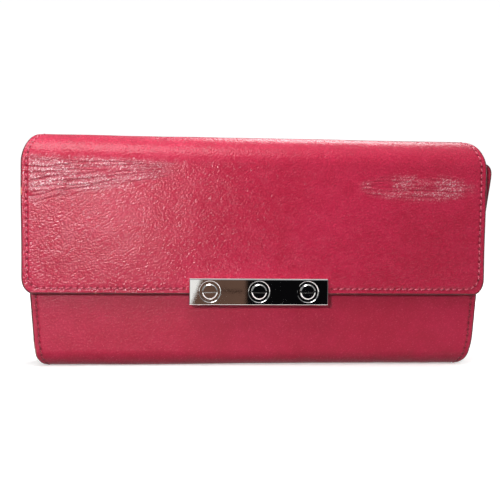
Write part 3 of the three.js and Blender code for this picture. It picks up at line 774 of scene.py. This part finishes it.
def crease_fan(s, x):
    """Where the flap is creased by opening and closing: how strongly, and the creases' cross direction.

    At the left the creases fan out towards the side edge. At the right they bow round an eye-shaped patch.
    """
    up = above_edge(s)
    span = np.clip(x + 95.6, 0, 70)
    half = np.maximum(10.5 - 0.125 * span, 2.5)
    across = (up - 47 - 0.08 * span) / half
    left = smooth(1.15, 0.7, np.abs(across)) * smooth(-28, -46, x) * smooth(95.2, 93.8, -x)
    eye = np.sqrt(np.clip(1 - ((x - 68) / 27) ** 2, 0.02, 1))
    level = (up - 45.5) / (6.2 * eye)
    right = 0.95 * smooth(1.15, 0.4, np.abs(level)) * smooth(0.2, 0.7, eye)
    return np.clip(left + right, 0, 1), np.where(x < 0, across * 8.0, level * 6.2)


def crease_lines(s, x):
    """1 in the bottom of a crease and 0 between creases. Creases run across the flap and fork."""
    _, across = crease_fan(s, x)
    total, seed = 0, 5
    for k, (gap, width, lean, share) in enumerate(((2.3, 0.30, 0.0, 1.0), (1.5, 0.22, 0.05, 0.75),
                                                   (1.9, 0.24, -0.06, 0.75))):
        phase = across / gap + lean * x / gap + 0.9 * fbm(x / 24, across / 8, seed + 7 * k, 2)
        line = np.round(phase)
        off = np.abs(phase - line) * gap
        broken = smooth(-0.45, 0.15, noise(x / 11 + 3.1 * line, line * 5.7, seed + 7 * k + 2))
        total = np.maximum(total, share * broken * np.exp(-(off / width) ** 2))
    return total


def fine_lines(s, x, seed=31):
    """Faint short wrinkles over the whole hide, leaning across the grain."""
    u, v = x * 0.86 + s * 0.5, s * 0.86 - x * 0.5
    field = noise(u / 9 + 0.7 * fbm(x / 14, s / 14, seed), v / 1.9 + fbm(x / 11, s / 8, seed + 2), seed + 5)
    return np.exp(-(field / 0.2) ** 2)


def away_from_seams(s):
    return smooth(0.5, 6, np.abs(s - S_CROWN)) * smooth(0.5, 6, np.abs(s - S_BASE))


def flap_height(s, x, inset):
    free = away_from_seams(s) * smooth(1.0, 6.0, inset)
    area, _ = crease_fan(s, x)
    up = above_edge(s)
    swell = 0.30 * fbm(x / 48, s / 34, 3) + 0.10 * fbm(x / 14, s / 11, 9)
    creases = area * (0.10 - 0.30 * crease_lines(s, x)) * smooth(1.2, 2.2, np.abs(inset - STITCH_INSET))
    wrinkles = -0.045 * fine_lines(s, x) * smooth(-0.35, 0.35, fbm(x / 30, s / 24, 44))
    plate = smooth(4, 0, np.maximum(np.abs(x) - PLAQUE_HALF, up - 8))
    level = ((swell + wrinkles) * free + creases) * (1 - plate) - 0.06 * plate
    return level + groove(inset) * (1 - plate) + dents(s, x, np.concatenate(FLAP_LINES), 0.32, 0.26)


def flap_marks(s, x):
    """Pale ridges between the creases, partly rubbed wear and partly painted sheen, and painted shade in the
    creases and needle holes.
    """
    area, _ = crease_fan(s, x)
    lines = crease_lines(s, x)
    # Stronger towards the left, where the lamp's highlight falls: partly rubbed wear, partly painted sheen.
    rubbed = smooth(-0.6, 0.3, fbm(x / 10, s / 5, 71)) * (0.6 + 0.4 * smooth(-50, -84, x))
    # Painted shade in the needle holes and in the bottoms of the creases.
    pits = -dents(s, x, np.concatenate(FLAP_LINES), 0.34, 1.0)
    return {"wear": area * (1 - lines) * rubbed, "pit": np.clip(pits + 0.42 * area * lines, 0, 0.9)}


def plain_height(lines, seed):
    def height(s, x, inset):
        free = away_from_seams(s) * smooth(1.0, 6.0, inset)
        swell = 0.28 * fbm(x / 46, s / 30, seed) + 0.08 * fbm(x / 13, s / 12, seed + 4)
        wrinkles = -0.05 * fine_lines(s, x, seed + 11) * smooth(-0.3, 0.4, fbm(x / 26, s / 22, seed + 6))
        return (swell + wrinkles) * free + groove(inset) + dents(s, x, np.concatenate(lines), 0.34, 0.24)

    return height


TAB_HALF = 26.0
TAB_DROP = 3.0


def tab(s, x):
    """The tongue that reaches down behind the plaque."""
    return TAB_DROP * smooth(TAB_HALF + 0.6, TAB_HALF - 1.0, np.abs(x)) * smooth(S_FLAP - 7, S_FLAP - 0.6, s)


def plain_marks(lines):
    def marks(s, x):
        # No pale tint here, and painted shade in the needle holes.
        return {"wear": 0 * s, "pit": np.clip(-dents(s, x, np.concatenate(lines), 0.36, 1.1), 0, 0.95)}

    return marks


# Where each bend starts and ends, as points in mm.
CROWN_REAR = ((0, BACK_FACE + 0.6, HEIGHT - TOP_REAR_R - 1.5),
              (0, BACK_FACE - TOP_REAR_R - 1.5, HEIGHT + 0.6))
CROWN_FRONT = ((0, FLAP_FACE + TOP_FRONT_R + 1.5, HEIGHT + 0.8),
               (0, FLAP_FACE - 0.8, HEIGHT - TOP_FRONT_R - 1.5))
BASE_FOLD = ((0, FRONT_FACE + BASE_R + 1, -0.5), (0, FRONT_FACE - 0.5, BASE_R + 1))


def bend(obj, a, b, ends, slot, *nodes):
    """Bakes a finished piece's placement into its mesh, in the place of these CAD nodes, which it hides; the
    two bodies, the ends and the slot are not used.
    """
    if nodes:
        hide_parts(*nodes)
    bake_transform(obj)


def front_skew(points):
    """The front panel sits a little to the right, and its top right corner has been pushed outwards."""
    points = points.copy()
    push = 0.5 * smooth(1, 14, points[:, 2])
    points[:, 0] += push + 2.0 * smooth(52, 84, points[:, 2]) * smooth(10, 96, points[:, 0])
    return points


def skewed(part):
    return (front_skew(part[0]),) + part[1:]


def panel_rows(flap_step, back_step, front_step):
    """The grid rows of the flap, the back and the front, crowded towards their rounded corners."""
    flap = np.concatenate([step_rows(S_CROWN, S_FLAP - FLAP_CORNER, flap_step)[:-1],
                           corner_rows(S_FLAP, FLAP_CORNER, 1)])
    front = np.concatenate([corner_rows(S_FRONT, FRONT_CORNER, -1)[::-1],
                            step_rows(S_FRONT + FRONT_CORNER, S_BASE, front_step)[1:]])
    return flap, step_rows(S_BASE, S_CROWN, back_step), front


def build_hide():
    flap_rows, back_rows, front_rows = panel_rows(0.32, 0.6, 0.5)
    flap = sheet(HIDE, flap_rows, flap_half, flap_height, step=0.6, closed="end", shift=tab)
    flap = assemble("flap leather", [flap], [HIDE_SKIN, PAINT_WORN], flap_marks)
    back = sheet(HIDE, back_rows, back_half, plain_height(BACK_LINES, 21), step=1.1)
    back = assemble("back leather", [back], [HIDE_SKIN, PAINT], plain_marks(BACK_LINES))
    front = sheet(HIDE, front_rows, front_half, plain_height(FRONT_LINES, 51), step=0.9, closed="start")
    front = assemble("front leather", [skewed(front)], [FRONT_SKIN, PAINT], plain_marks(FRONT_LINES))
    bend(flap, "roll", "flap", CROWN_FRONT, "hide", "flap_leather", "roll_leather")
    bend(back, "back", "roll", CROWN_REAR, "hide", "back_leather")
    bend(front, "back", "front", BASE_FOLD, "hide", "front_leather")
    for name, lines, a, b, ends in (("flap stitches", FLAP_LINES, "roll", "flap", CROWN_FRONT),
                                    ("back stitches", BACK_LINES, "back", "roll", CROWN_REAR),
                                    ("front stitches", FRONT_LINES, "back", "front", BASE_FOLD)):
        moved = front_skew if lines is FRONT_LINES else None
        # The flap's stitches get the lit thread, and the others get its darker copy as painted shade.
        colour = THREAD if lines is FLAP_LINES else THREAD_SHADED
        bend(thread(name, HIDE, lines, 0.16, 1, [colour], moved), a, b, ends, "hide")
        inside = thread(name + " inside", HIDE, lines, PANEL, -1, [THREAD], moved, tilt=-10, thick=0.24)
        bend(inside, a, b, ends, "hide")


# ---------------------------------------------------------------- lining

S_SNAP = S_FLAP + FLAP_EDGE - SCREW_Z
SOCKET_R = 5.0


def lining_height(seed, socket=False):
    def height(s, x, inset):
        free = away_from_seams(s) * smooth(1.0, 6.0, inset)
        level = (0.16 * fbm(x / 40, s / 26, seed) - 0.05) * free
        level = level - 0.10 * np.exp(-((inset - STITCH_INSET) / 0.6) ** 2)
        if socket:
            gap = np.hypot(s - S_SNAP, x)
            level = level * smooth(SOCKET_R, SOCKET_R + 3, gap)
            level = level - 0.8 * smooth(SOCKET_R - 0.3, SOCKET_R - 1.4, gap)
        return level

    return height


def build_lining():
    inner = dict(depth=PANEL, towards=-1, far=PANEL - LEATHER_END)
    flap_rows, back_rows, front_rows = panel_rows(1.2, 1.6, 1.5)
    flap = sheet(HIDE, flap_rows, flap_half, lining_height(61, True), step=0.9, closed="end", shift=tab,
                 **inner)
    back = sheet(HIDE, back_rows, back_half, lining_height(64), step=2.4, **inner)
    front = sheet(HIDE, front_rows, front_half, lining_height(67), step=2.4, closed="start", **inner)
    for name, part, paint, nodes, a, b, ends in (
            ("flap lining", flap, PAINT_WORN, ("flap_lining", "roll_lining"), "roll", "flap", CROWN_FRONT),
            ("back lining", back, PAINT, ("back_lining",), "back", "roll", CROWN_REAR),
            ("front lining", skewed(front), PAINT, ("front_lining",), "back", "front", BASE_FOLD)):
        bend(assemble(name, [part], [LINING_SKIN, paint]), a, b, ends, "lining", *nodes)


# ---------------------------------------------------------------- card slots

TIER_TOPS = (78.0, 68.5, 59.0)
SLOT_BOTTOM = 8.0
SLOT_INSET = 3.5
SLOT_THICK = 0.5
MOUTH = 44.0  # how far each card mouth's middle is from the wallet's middle


def card_strip(name, lean, middle, towards, top, seed):
    """A strip of thin leather whose top edge dips at each card mouth and gapes a little."""
    rows = np.concatenate([step_rows(SLOT_BOTTOM, top - 3, 4.0), top - np.array([2.2, 1.4, 0.7, 0.0])])
    half = BASE_HALF + lean * rows - SLOT_INSET
    t = np.linspace(-1, 1, 141)
    z, x = np.repeat(rows[:, None], len(t), 1), half[:, None] * t[None, :]
    mouth = np.abs(np.abs(x) - MOUTH) / MOUTH
    near_top = smooth(top - 12, top, z)
    dip = 0.9 * smooth(0.30, 0.0, mouth) * near_top
    sag = 0.22 * near_top * smooth(1.0, 0.2, mouth) * (1 + 0.4 * noise(x / 20, z / 9, seed))
    y = middle + towards * (0.05 * fbm(x / 24, z / 12, seed) + sag * 0.4)
    return thin_piece(name, np.stack([x, y, z - dip], -1), INNER_SKIN, SLOT_THICK - 0.06, 0.14)


def stitch_row(name, points, normal):
    """Straight stitches along a polyline of 3-D points, standing on a face with this normal."""
    pitch, rings, sides = 2.9, 7, 6
    points = np.asarray(points, float)
    run = np.concatenate([[0], np.cumsum(np.linalg.norm(np.diff(points, axis=0), axis=1))])
    at = np.arange(pitch / 2, run[-1], pitch)
    place = np.stack([np.interp(at, run, points[:, k]) for k in range(3)], -1)
    ahead = np.stack([np.interp(at + 0.5, run, points[:, k]) for k in range(3)], -1)
    way = ahead - place
    way = way / (np.linalg.norm(way, axis=1)[:, None] + 1e-9)
    normal = np.asarray(normal, float)
    t = np.linspace(-1, 1, rings)
    all_points, faces = [], []
    for p, d in zip(place, way):
        if np.linalg.norm(d) < 0.5:
            continue
        side = np.cross(d, normal)
        faces += tube_faces(len(all_points), rings, sides)
        for r in range(rings):
            radius = 0.22 * math.sqrt(max(0.08, 1 - abs(t[r]) ** 4 * 0.8))
            middle = p + d * t[r] * pitch * 0.38 + normal * (0.05 - 0.3 * abs(t[r]) ** 2.6)
            for q in range(sides):
                a = q * 2 * math.pi / sides
                all_points.append(middle + side * radius * math.cos(a) + normal * radius * math.sin(a))
    return make(name, all_points, faces, None, [THREAD])


def build_cards():
    for body, lean, face, towards in (("back", BACK_LEAN, BACK_INNER, -1),
                                      ("front", FRONT_LEAN, FRONT_INNER, 1)):
        for tier, top in enumerate(TIER_TOPS):
            middle = face + towards * (0.1 + tier * 0.6 + SLOT_THICK / 2)
            strip = card_strip(f"card slot {body} {tier + 1}", lean, middle, towards, top, 80 + tier)
            settle(strip, body, "lining", f"card_slot_{body}_{tier + 1}")
            low = SLOT_BOTTOM + 1.5 if tier == 2 else TIER_TOPS[tier + 1] + 0.6
            outer = middle + towards * (SLOT_THICK / 2 + 0.02)
            row = stitch_row(f"card slot seam {body} {tier + 1}", [(0, outer, low), (0, outer, top - 1.5)],
                             (0, towards, 0))
            settle(row, body, "lining")


# ---------------------------------------------------------------- gussets

GUSSET_TOP = 80.0
GUSSET_TUCK = 12.0
GUSSET_THICK = 0.55


def chaikin(points, times):
    points = np.asarray(points, float)
    for _ in range(times):
        near = points[:-1] * 0.75 + points[1:] * 0.25
        far = points[:-1] * 0.25 + points[1:] * 0.75
        middle = np.stack([near, far], 1).reshape(-1, points.shape[1])
        points = np.concatenate([points[:1], middle, points[-1:]])
    return points


def gusset(name, wall, pocket, lean, side, body_a, body_b, ends, seed):
    """A bellows: its fold tucks in towards the middle of the wallet, deeper at the top than at the base."""
    way = math.copysign(1, pocket - wall)
    middle = (wall + way * BANK + pocket) / 2
    rows = step_rows(5.4, GUSSET_TOP, 2.6)
    grid = []
    for z in rows:
        draw = float(smooth(11, 4.5, z))
        tuck = GUSSET_TUCK * (1 - 0.25 * draw) + 0.5 * float(noise(np.float64(z / 14), 0.0, seed))
        first = wall + way * (0.33 + 0.9 * draw)
        section = chaikin([(1.3, first), (1.3, wall + way * (BANK + 0.5)), (1.9, wall + way * (BANK + 0.9)),
                           (tuck, middle - way * 0.55), (tuck, middle + way * 0.55),
                           (1.9, pocket - way * 0.9), (1.05, pocket + way * 0.05)], 3)
        x = side * (BASE_HALF + lean * z - section[:, 0])
        grid.append(np.stack([x, section[:, 1], np.full(len(section), z)], -1))
    obj = thin_piece(name, np.array(grid), INNER_SKIN, GUSSET_THICK, 0.14)
    bend(obj, body_a, body_b, ends, "gusset", name.replace(" ", "_"))


def build_gussets():
    rear = ((0, BACK_INNER, 40), (0, BACK_INNER + 2 * (POCKET_REAR - BACK_INNER), 40))
    front = ((0, FRONT_INNER, 40), (0, POCKET_FRONT, 40))
    for label, side in (("left", -1), ("right", 1)):
        gusset(f"gusset rear {label}", BACK_INNER, POCKET_REAR, BACK_LEAN, side, "back", "front",
               rear, 5 + side)
        gusset(f"gusset front {label}", FRONT_INNER, POCKET_FRONT, FRONT_LEAN, side, "front", "coin_pocket",
               front, 9 + side)


# ---------------------------------------------------------------- coin pocket and zip

POCKET_TOP = 72.0
POCKET_LOW = 5.0
POCKET_WALL = 0.9
CHAIN_Z = 75.2
CHAIN_HALF = 81.0
TOOTH_PITCH = 2.4
LAST_TOOTH = 76.6


def build_pocket():
    bend_r = 1.6
    wrap = Path([
        ("line", (POCKET_FRONT, POCKET_TOP), (POCKET_FRONT, POCKET_LOW + bend_r)),
        ("bend", (POCKET_FRONT + bend_r, POCKET_LOW + bend_r), bend_r, 180, 270),
        ("line", (POCKET_FRONT + bend_r, POCKET_LOW), (POCKET_REAR - bend_r, POCKET_LOW)),
        ("bend", (POCKET_REAR - bend_r, POCKET_LOW + bend_r), bend_r, 270, 360),
        ("line", (POCKET_REAR, POCKET_LOW + bend_r), (POCKET_REAR, POCKET_TOP)),
    ])

    def half_at(z):
        return BASE_HALF + BACK_LEAN * z - 1.5

    def outer(s, x, inset):
        seam = 0.08 * np.exp(-((inset - 2) / 0.6) ** 2)
        return 0.12 * fbm(x / 30, s / 20, 90) * smooth(0, 5, inset) - 0.05 - seam

    def inside(s, x, inset):
        return 0 * s

    rows = step_rows(0.3, wrap.s[-1] - 0.3, 2.0)
    parts = [sheet(wrap, rows, half_at, outer, far=POCKET_WALL / 2, step=2.5, closed="both"),
             sheet(wrap, rows, half_at, inside, depth=POCKET_WALL, towards=-1, far=POCKET_WALL / 2, step=5,
                   closed="both")]
    pocket = assemble("coin pocket", parts, [LINING_SKIN, PAINT])
    settle(pocket, "coin_pocket", "gusset", "coin_pocket_leather")
    for label, side in (("left", -1), ("right", 1)):
        rounded_copy(f"coin_pocket_side_{label}", INNER_SKIN, 0.3, "coin_pocket", "gusset")
        for face, y, normal in (("front", POCKET_FRONT, -1), ("rear", POCKET_REAR, 1)):
            line = [(side * (half_at(z) - 2.2), y, z) for z in (POCKET_LOW + 3, POCKET_TOP - 1)]
            seam = stitch_row(f"coin pocket seam {face} {label}", line, (0, normal, 0))
            settle(seam, "coin_pocket", "gusset")


def rounded_copy(node, material, width, body, slot):
    """The CAD piece with its edges rounded, standing for the node."""
    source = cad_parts[node]
    obj = bpy.data.objects.new(node + LOOK, source.data.copy())
    bpy.context.scene.collection.objects.link(obj)
    obj.data.materials.clear()
    obj.data.materials.append(material)
    work = bmesh.new()
    work.from_mesh(obj.data)
    bmesh.ops.remove_doubles(work, verts=work.verts, dist=1e-6)
    bmesh.ops.dissolve_limit(work, angle_limit=math.radians(1), verts=work.verts, edges=work.edges)
    work.to_mesh(obj.data)
    work.free()
    round_edges(obj, width)
    apply(obj)
    shade(obj.data, 35)
    settle(obj, body, slot, node)


def tooth_template():
    """One zip tooth as points and faces: a block with rounded edges."""
    work = bmesh.new()
    bmesh.ops.create_cube(work, size=1.0)
    bmesh.ops.scale(work, vec=(0.92, 1.65, 1.5), verts=work.verts)
    bmesh.ops.bevel(work, geom=list(work.edges), offset=0.2, segments=2, affect="EDGES", profile=0.6)
    return drain(work)


def zip_half(label, side, shift):
    """One tape, its row of teeth, and the cord that they are clamped to."""
    section = chaikin([(2.1, POCKET_TOP - 9), (2.1, CHAIN_Z - 0.3), (1.9, CHAIN_Z), (1.4, CHAIN_Z)], 2)
    xs = np.linspace(-CHAIN_HALF - 3, CHAIN_HALF + 3, 60)
    x = np.repeat(xs[:, None], len(section), 1)
    y = POCKET_MIDDLE + side * np.repeat(section[None, :, 0], len(xs), 0)
    z = np.repeat(section[None, :, 1], len(xs), 0)
    tape = thin_piece(f"zip tape {label}", np.stack([x, y, z], -1), TAPE, 0.36, 0.08)

    template, quads = tooth_template()
    points, faces, count = [], [], 0
    x = -CHAIN_HALF + 1.45 + shift
    while x < LAST_TOOTH:
        points.append(template + np.array([x, POCKET_MIDDLE + side * 0.16, CHAIN_Z]))
        faces += [[i + count for i in quad] for quad in quads]
        count += len(template)
        x += TOOTH_PITCH
    angles = np.linspace(0, 2 * math.pi, 10, endpoint=False)
    for end in (-CHAIN_HALF, CHAIN_HALF):
        points.append(np.stack([np.full(10, end), POCKET_MIDDLE + side * (1.1 + 0.26 * np.cos(angles)),
                                CHAIN_Z + 0.62 * np.sin(angles)], -1))
    faces += tube_faces(count, 2, 10)
    teeth = make(f"zip teeth {label}", np.concatenate(points), faces, None, [NICKEL], auto=35)
    for obj, slot in ((tape, "zip_tape"), (teeth, "zip_metal")):
        settle(obj, "coin_pocket", slot, obj.name[:-len(LOOK)])
        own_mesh(obj)


def build_zip():
    zip_half("front", -1, 0.0)
    zip_half("rear", 1, TOOTH_PITCH / 2)
    for node, width, body in (("zip_stop_left", 0.3, "coin_pocket"), ("zip_stop_right", 0.3, "coin_pocket"),
                              ("zip_slider", 0.16, "zip_slider"), ("zip_puller", 0.14, "zip_puller")):
        rounded_copy(node, NICKEL, width, body, "zip_metal")


# ---------------------------------------------------------------- plaque, screws and snap


def lathe(name, profile, x, z, materials, sides=72):
    """A turned piece round an axis along Y. profile is (radius, y) points, on the axis at both ends."""
    angles = np.linspace(0, 2 * math.pi, sides, endpoint=False)
    points, rings, faces = [], [], []
    for radius, y in profile:
        if radius < 1e-6:
            rings.append([len(points)])
            points.append((x, y, z))
        else:
            rings.append(list(range(len(points), len(points) + sides)))
            points += [(x + radius * math.cos(a), y, z + radius * math.sin(a)) for a in angles]
    for low, high in zip(rings[:-1], rings[1:]):
        for q in range(sides):
            r = (q + 1) % sides
            if len(low) == 1:
                faces.append((low[0], high[q], high[r]))
            elif len(high) == 1:
                faces.append((low[q], high[0], low[r]))
            else:
                faces.append((low[q], high[q], high[r], low[r]))
    obj = make(name, points, faces, None, materials)
    face_outwards(obj)
    obj.data.set_sharp_from_angle(angle=math.radians(30))
    return obj


def face_outwards(obj):
    work = bmesh.new()
    work.from_mesh(obj.data)
    bmesh.ops.recalc_face_normals(work, faces=work.faces)
    work.to_mesh(obj.data)
    work.free()


def block(name, low, high, bevel, top_bevel, materials):
    """A box with bevelled edges. top_bevel is for its upper edge at the front."""
    work = bmesh.new()
    bmesh.ops.create_cube(work, size=1.0)
    low, high = np.array(low), np.array(high)
    bmesh.ops.scale(work, vec=high - low, verts=work.verts)
    bmesh.ops.translate(work, vec=(low + high) / 2, verts=work.verts)
    front, top = low[1] + 0.01, high[2] - 0.01
    crest = [e for e in work.edges if all(v.co.y < front and v.co.z > top for v in e.verts)]
    bmesh.ops.bevel(work, geom=crest, offset=top_bevel, segments=3, affect="EDGES", profile=0.5)
    sharp = [e for e in work.edges if e.calc_face_angle(0) > math.radians(50)]
    bmesh.ops.bevel(work, geom=sharp, offset=bevel, segments=2, affect="EDGES", profile=0.5)
    return make(name, *drain(work), None, materials, auto=10)


def cut(obj, *tools):
    """Cuts the tools out of a piece, and removes them."""
    for tool in tools:
        modifier = obj.modifiers.new("cut", "BOOLEAN")
        modifier.operation = "DIFFERENCE"
        modifier.solver = "EXACT"
        modifier.object = tool
    bpy.context.view_layer.update()
    apply(obj)
    for tool in tools:
        bpy.data.objects.remove(tool)
    shade(obj.data, 12)


# Each screw's name, place, and the tilt of its slot in degrees.
SCREWS = (("left", -SCREW_PITCH, -1.5), ("centre", 0, 0.8), ("right", SCREW_PITCH, -0.6))


SINK_R = 4.3
HEAD_R = 3.25
SHANK_R = 1.0


def build_plaque():
    face = PLAQUE_FACE
    bar = block("plaque bar", (-PLAQUE_HALF, face, PLAQUE_LOW), (PLAQUE_HALF, PLAQUE_BACK, PLAQUE_HIGH),
                0.24, 0.62, [CHROME])
    sinks = []
    for _, x, _ in SCREWS:
        profile = [(0, face - 1), (SINK_R + 0.25, face - 1), (SINK_R + 0.25, face),
                   (SINK_R + 0.08, face + 0.15), (SINK_R, face + 0.94), (SHANK_R + 0.2, face + 0.94),
                   (SHANK_R + 0.2, PLAQUE_BACK + 1), (0, PLAQUE_BACK + 1)]
        sinks.append(lathe("sink", profile, x, SCREW_Z, [CHROME]))
    cut(bar, *sinks)
    settle(bar, "flap", "plaque_metal", "plaque")
    for label, x, tilt in SCREWS:
        head = [(0, face + 0.02), (HEAD_R - 0.5, face + 0.02), (HEAD_R - 0.08, face + 0.3),
                (HEAD_R, face + 0.42), (HEAD_R, face + 0.88), (SHANK_R, face + 0.9),
                (SHANK_R, PLAQUE_BACK + 1.2), (SHANK_R - 0.3, PLAQUE_BACK + 1.5), (0, PLAQUE_BACK + 1.5)]
        screw = lathe(f"plaque screw {label}", head, x, SCREW_Z, [CHROME])
        lip = [(face - 1, 0.38), (face + 0.62, 0.38), (face + 0.62, -0.26), (face + 0.3, -0.26),
               (face - 1, -1.42)]
        points = [(end, y, z) for end in (-4, 4) for y, z in lip]
        slot = make("slot", points, tube_faces(0, 2, len(lip)), None, [CHROME])
        face_outwards(slot)
        slot.data.transform(Matrix.Rotation(math.radians(tilt), 4, "Y"))
        slot.data.transform(Matrix.Translation((x * MM, 0, SCREW_Z * MM)))
        cut(screw, slot)
        settle(screw, "flap", "plaque_metal", f"plaque_screw_{label}")


def build_snap():
    back = FLAP_FACE + 1.3
    rim = FLAP_FACE + PANEL + 0.4
    cup = [(0, back), (4.6, back), (5.0, back + 0.2), (5.0, rim - 0.25), (4.8, rim - 0.06), (4.5, rim),
           (3.5, rim), (3.2, rim - 0.12), (3.1, rim - 0.4), (3.1, back + 0.5), (0, back + 0.5)]
    settle(lathe("snap socket", cup, 0, SCREW_Z, [NICKEL], 48), "flap", "snap_metal", "snap_socket")
    seat = FRONT_FACE - 0.1
    knob = [(0, seat), (4.1, seat), (4.2, seat - 0.15), (4.0, seat - 0.4), (3.4, seat - 0.5),
            (2.1, seat - 0.5), (1.85, seat - 0.62), (1.85, seat - 0.95), (2.1, seat - 1.15),
            (2.2, seat - 1.4), (2.1, seat - 1.65), (1.7, seat - 1.79), (0, seat - 1.8)]
    settle(lathe("snap stud", knob, 0, SCREW_Z, [NICKEL], 48), "front", "snap_metal", "snap_stud")
    for node in ("backplate_left", "backplate_right", "snap_rivet"):
        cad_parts[node].data.materials[0] = NICKEL
    for node in ("back_board", "base_board", "front_board", "flap_board"):
        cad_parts[node].data.materials[0] = BOARD


# ---------------------------------------------------------------- floor, light and camera


def plain(name, colour, rough):
    n = Nodes(name)
    return n.finish(Base_Color=colour, Roughness=rough)


def glowing(name, colour, base=(0, 0, 0, 1), strength=1.0):
    material = plain(name, base, 0.8)
    shader = material.node_tree.nodes["Principled BSDF"]
    shader.inputs["Emission Color"].default_value = colour
    shader.inputs["Emission Strength"].default_value = strength
    if base[0] == 0:
        shader.inputs["Specular IOR Level"].default_value = 0
    return material


FLOOR_R = 270
STUDIO_R = 900  # where the backdrop starts to curve up
CURVE_R = 500
WALL_TOP = 2400


def build_stage():
    """A pale round floor, in a wider one that curves up into a wall all round."""
    wall = [(FLOOR_R, 0), (STUDIO_R, 0)]
    for a in np.linspace(0.05, math.pi / 2, 24):
        wall.append((STUDIO_R + CURVE_R * math.sin(a), CURVE_R - CURVE_R * math.cos(a)))
    wall.append((STUDIO_R + CURVE_R, WALL_TOP))
    for name, rows, glow in (("floor", [(0.001, 0), (FLOOR_R, 0)], 0.4), ("backdrop", wall, 0.8)):
        turn = np.linspace(0, 2 * math.pi, 97)
        points = [(r * math.cos(a), r * math.sin(a), z) for r, z in rows for a in turn]
        paper = glowing(name, (1, 1, 1, 1), (0.86, 0.865, 0.85, 1), glow)
        paper = make(name, points, grid_faces(len(rows), 97).tolist(), None, [paper])
        paper.visible_diffuse = False
        paper.visible_glossy = name == "floor"


def flag(name, corners, colour):
    """A studio card that shows only where something mirrors it."""
    obj = make(name, corners, [tuple(range(len(corners)))], None, [glowing(name, colour)])
    for key in ("visible_camera", "visible_diffuse", "visible_shadow", "visible_transmission"):
        setattr(obj, key, False)


def lamp(name, place, aim, size, power):
    light = bpy.data.lights.new(name, "AREA")
    light.shape = "RECTANGLE"
    light.size, light.size_y = size[0] * MM, size[1] * MM
    light.energy = power
    obj = bpy.data.objects.new(name, light)
    bpy.context.scene.collection.objects.link(obj)
    obj.location = Vector(place) * MM
    obj.rotation_euler = (Vector(aim) - Vector(place)).to_track_quat("-Z", "Y").to_euler()


def build_lights():
    world = bpy.data.worlds.new("world")
    world.use_nodes = True
    nodes, links = world.node_tree.nodes, world.node_tree.links
    way = nodes.new("ShaderNodeTexCoord")
    split = nodes.new("ShaderNodeSeparateXYZ")
    level = nodes.new("ShaderNodeMapRange")
    for socket, value in zip(level.inputs[1:5], (-0.6, 0.5, 0.06, 0.36)):
        socket.default_value = value
    links.new(way.outputs["Generated"], split.inputs[0])
    links.new(split.outputs["Z"], level.inputs[0])
    links.new(level.outputs[0], nodes["Background"].inputs["Strength"])
    nodes["Background"].inputs["Color"].default_value = (0.97, 0.98, 1.0, 1)
    bpy.context.scene.world = world
    lamp("key", (-150, -400, 145), (-20, 0, 55), (55, 50), 0.85)
    lamp("top", (-90, -110, 300), (-10, 0, 60), (240, 120), 0.52)
    lamp("fill", (420, -600, 260), (0, 0, 50), (400, 400), 0.15)
    lamp("rear", (150, 400, 600), (0, 0, 50), (300, 300), 1.8)
    lamp("side", (600, 140, 240), (0, 0, 50), (300, 300), 1.1)
    y = -205  # where the cards that the plaque mirrors stand
    flag("dark flag", [(12, y, 0.5), (110, y, 0.5), (110, y, 60), (12, y, 60)], (0.003, 0.003, 0.0035, 1))
    flag("warm flag", [(-25.7, y, 0.5), (13, y, 0.5), (13, y, 60), (-3.6, y, 60)], (0.13, 0.073, 0.052, 1))
    flag("streak", [(-5, y + 1, 18.2), (10, y + 1, 17.2), (10, y + 1, 18.2), (-5, y + 1, 19.2)],
         (0.02, 0.01, 0.008, 1))
    flag("ceiling", [(-400, -400, 600), (-400, 300, 600), (400, 300, 600), (400, -400, 600)],
         (0.9, 0.9, 0.9, 1))
    flag("white flag", [(-80, y, 0.5), (-25.9, y, 0.5), (-3.8, y, 60), (-80, y, 60)], (0.95, 0.95, 0.93, 1))


def build_camera():
    azimuth, elevation, roll = math.radians(-5.57), math.radians(1.5), math.radians(0.604)
    distance, lens = 372.6, 62.01792
    target = Vector((-2.557, 0, 48.877))
    away = Vector((math.sin(azimuth) * math.cos(elevation), -math.cos(azimuth) * math.cos(elevation),
                   math.sin(elevation)))
    right = (-away).cross(Vector((0, 0, 1))).normalized()
    up = right.cross(-away)
    turned_right = right * math.cos(roll) + up * math.sin(roll)
    turned_up = up * math.cos(roll) - right * math.sin(roll)
    data = bpy.data.cameras.new("camera")
    data.sensor_width = 36
    data.lens = lens
    data.clip_start = 0.01
    camera = bpy.data.objects.new("camera", data)
    bpy.context.scene.collection.objects.link(camera)
    turn = Matrix((turned_right, turned_up, away)).transposed().to_4x4()
    camera.matrix_world = Matrix.Translation((target + away * distance) * MM) @ turn
    bpy.context.scene.camera = camera


build_hide()
build_lining()
build_cards()
build_gussets()
build_pocket()
build_zip()
build_plaque()
build_snap()
build_stage()
build_lights()
build_camera()
bpy.context.scene.view_settings.view_transform = "Standard"
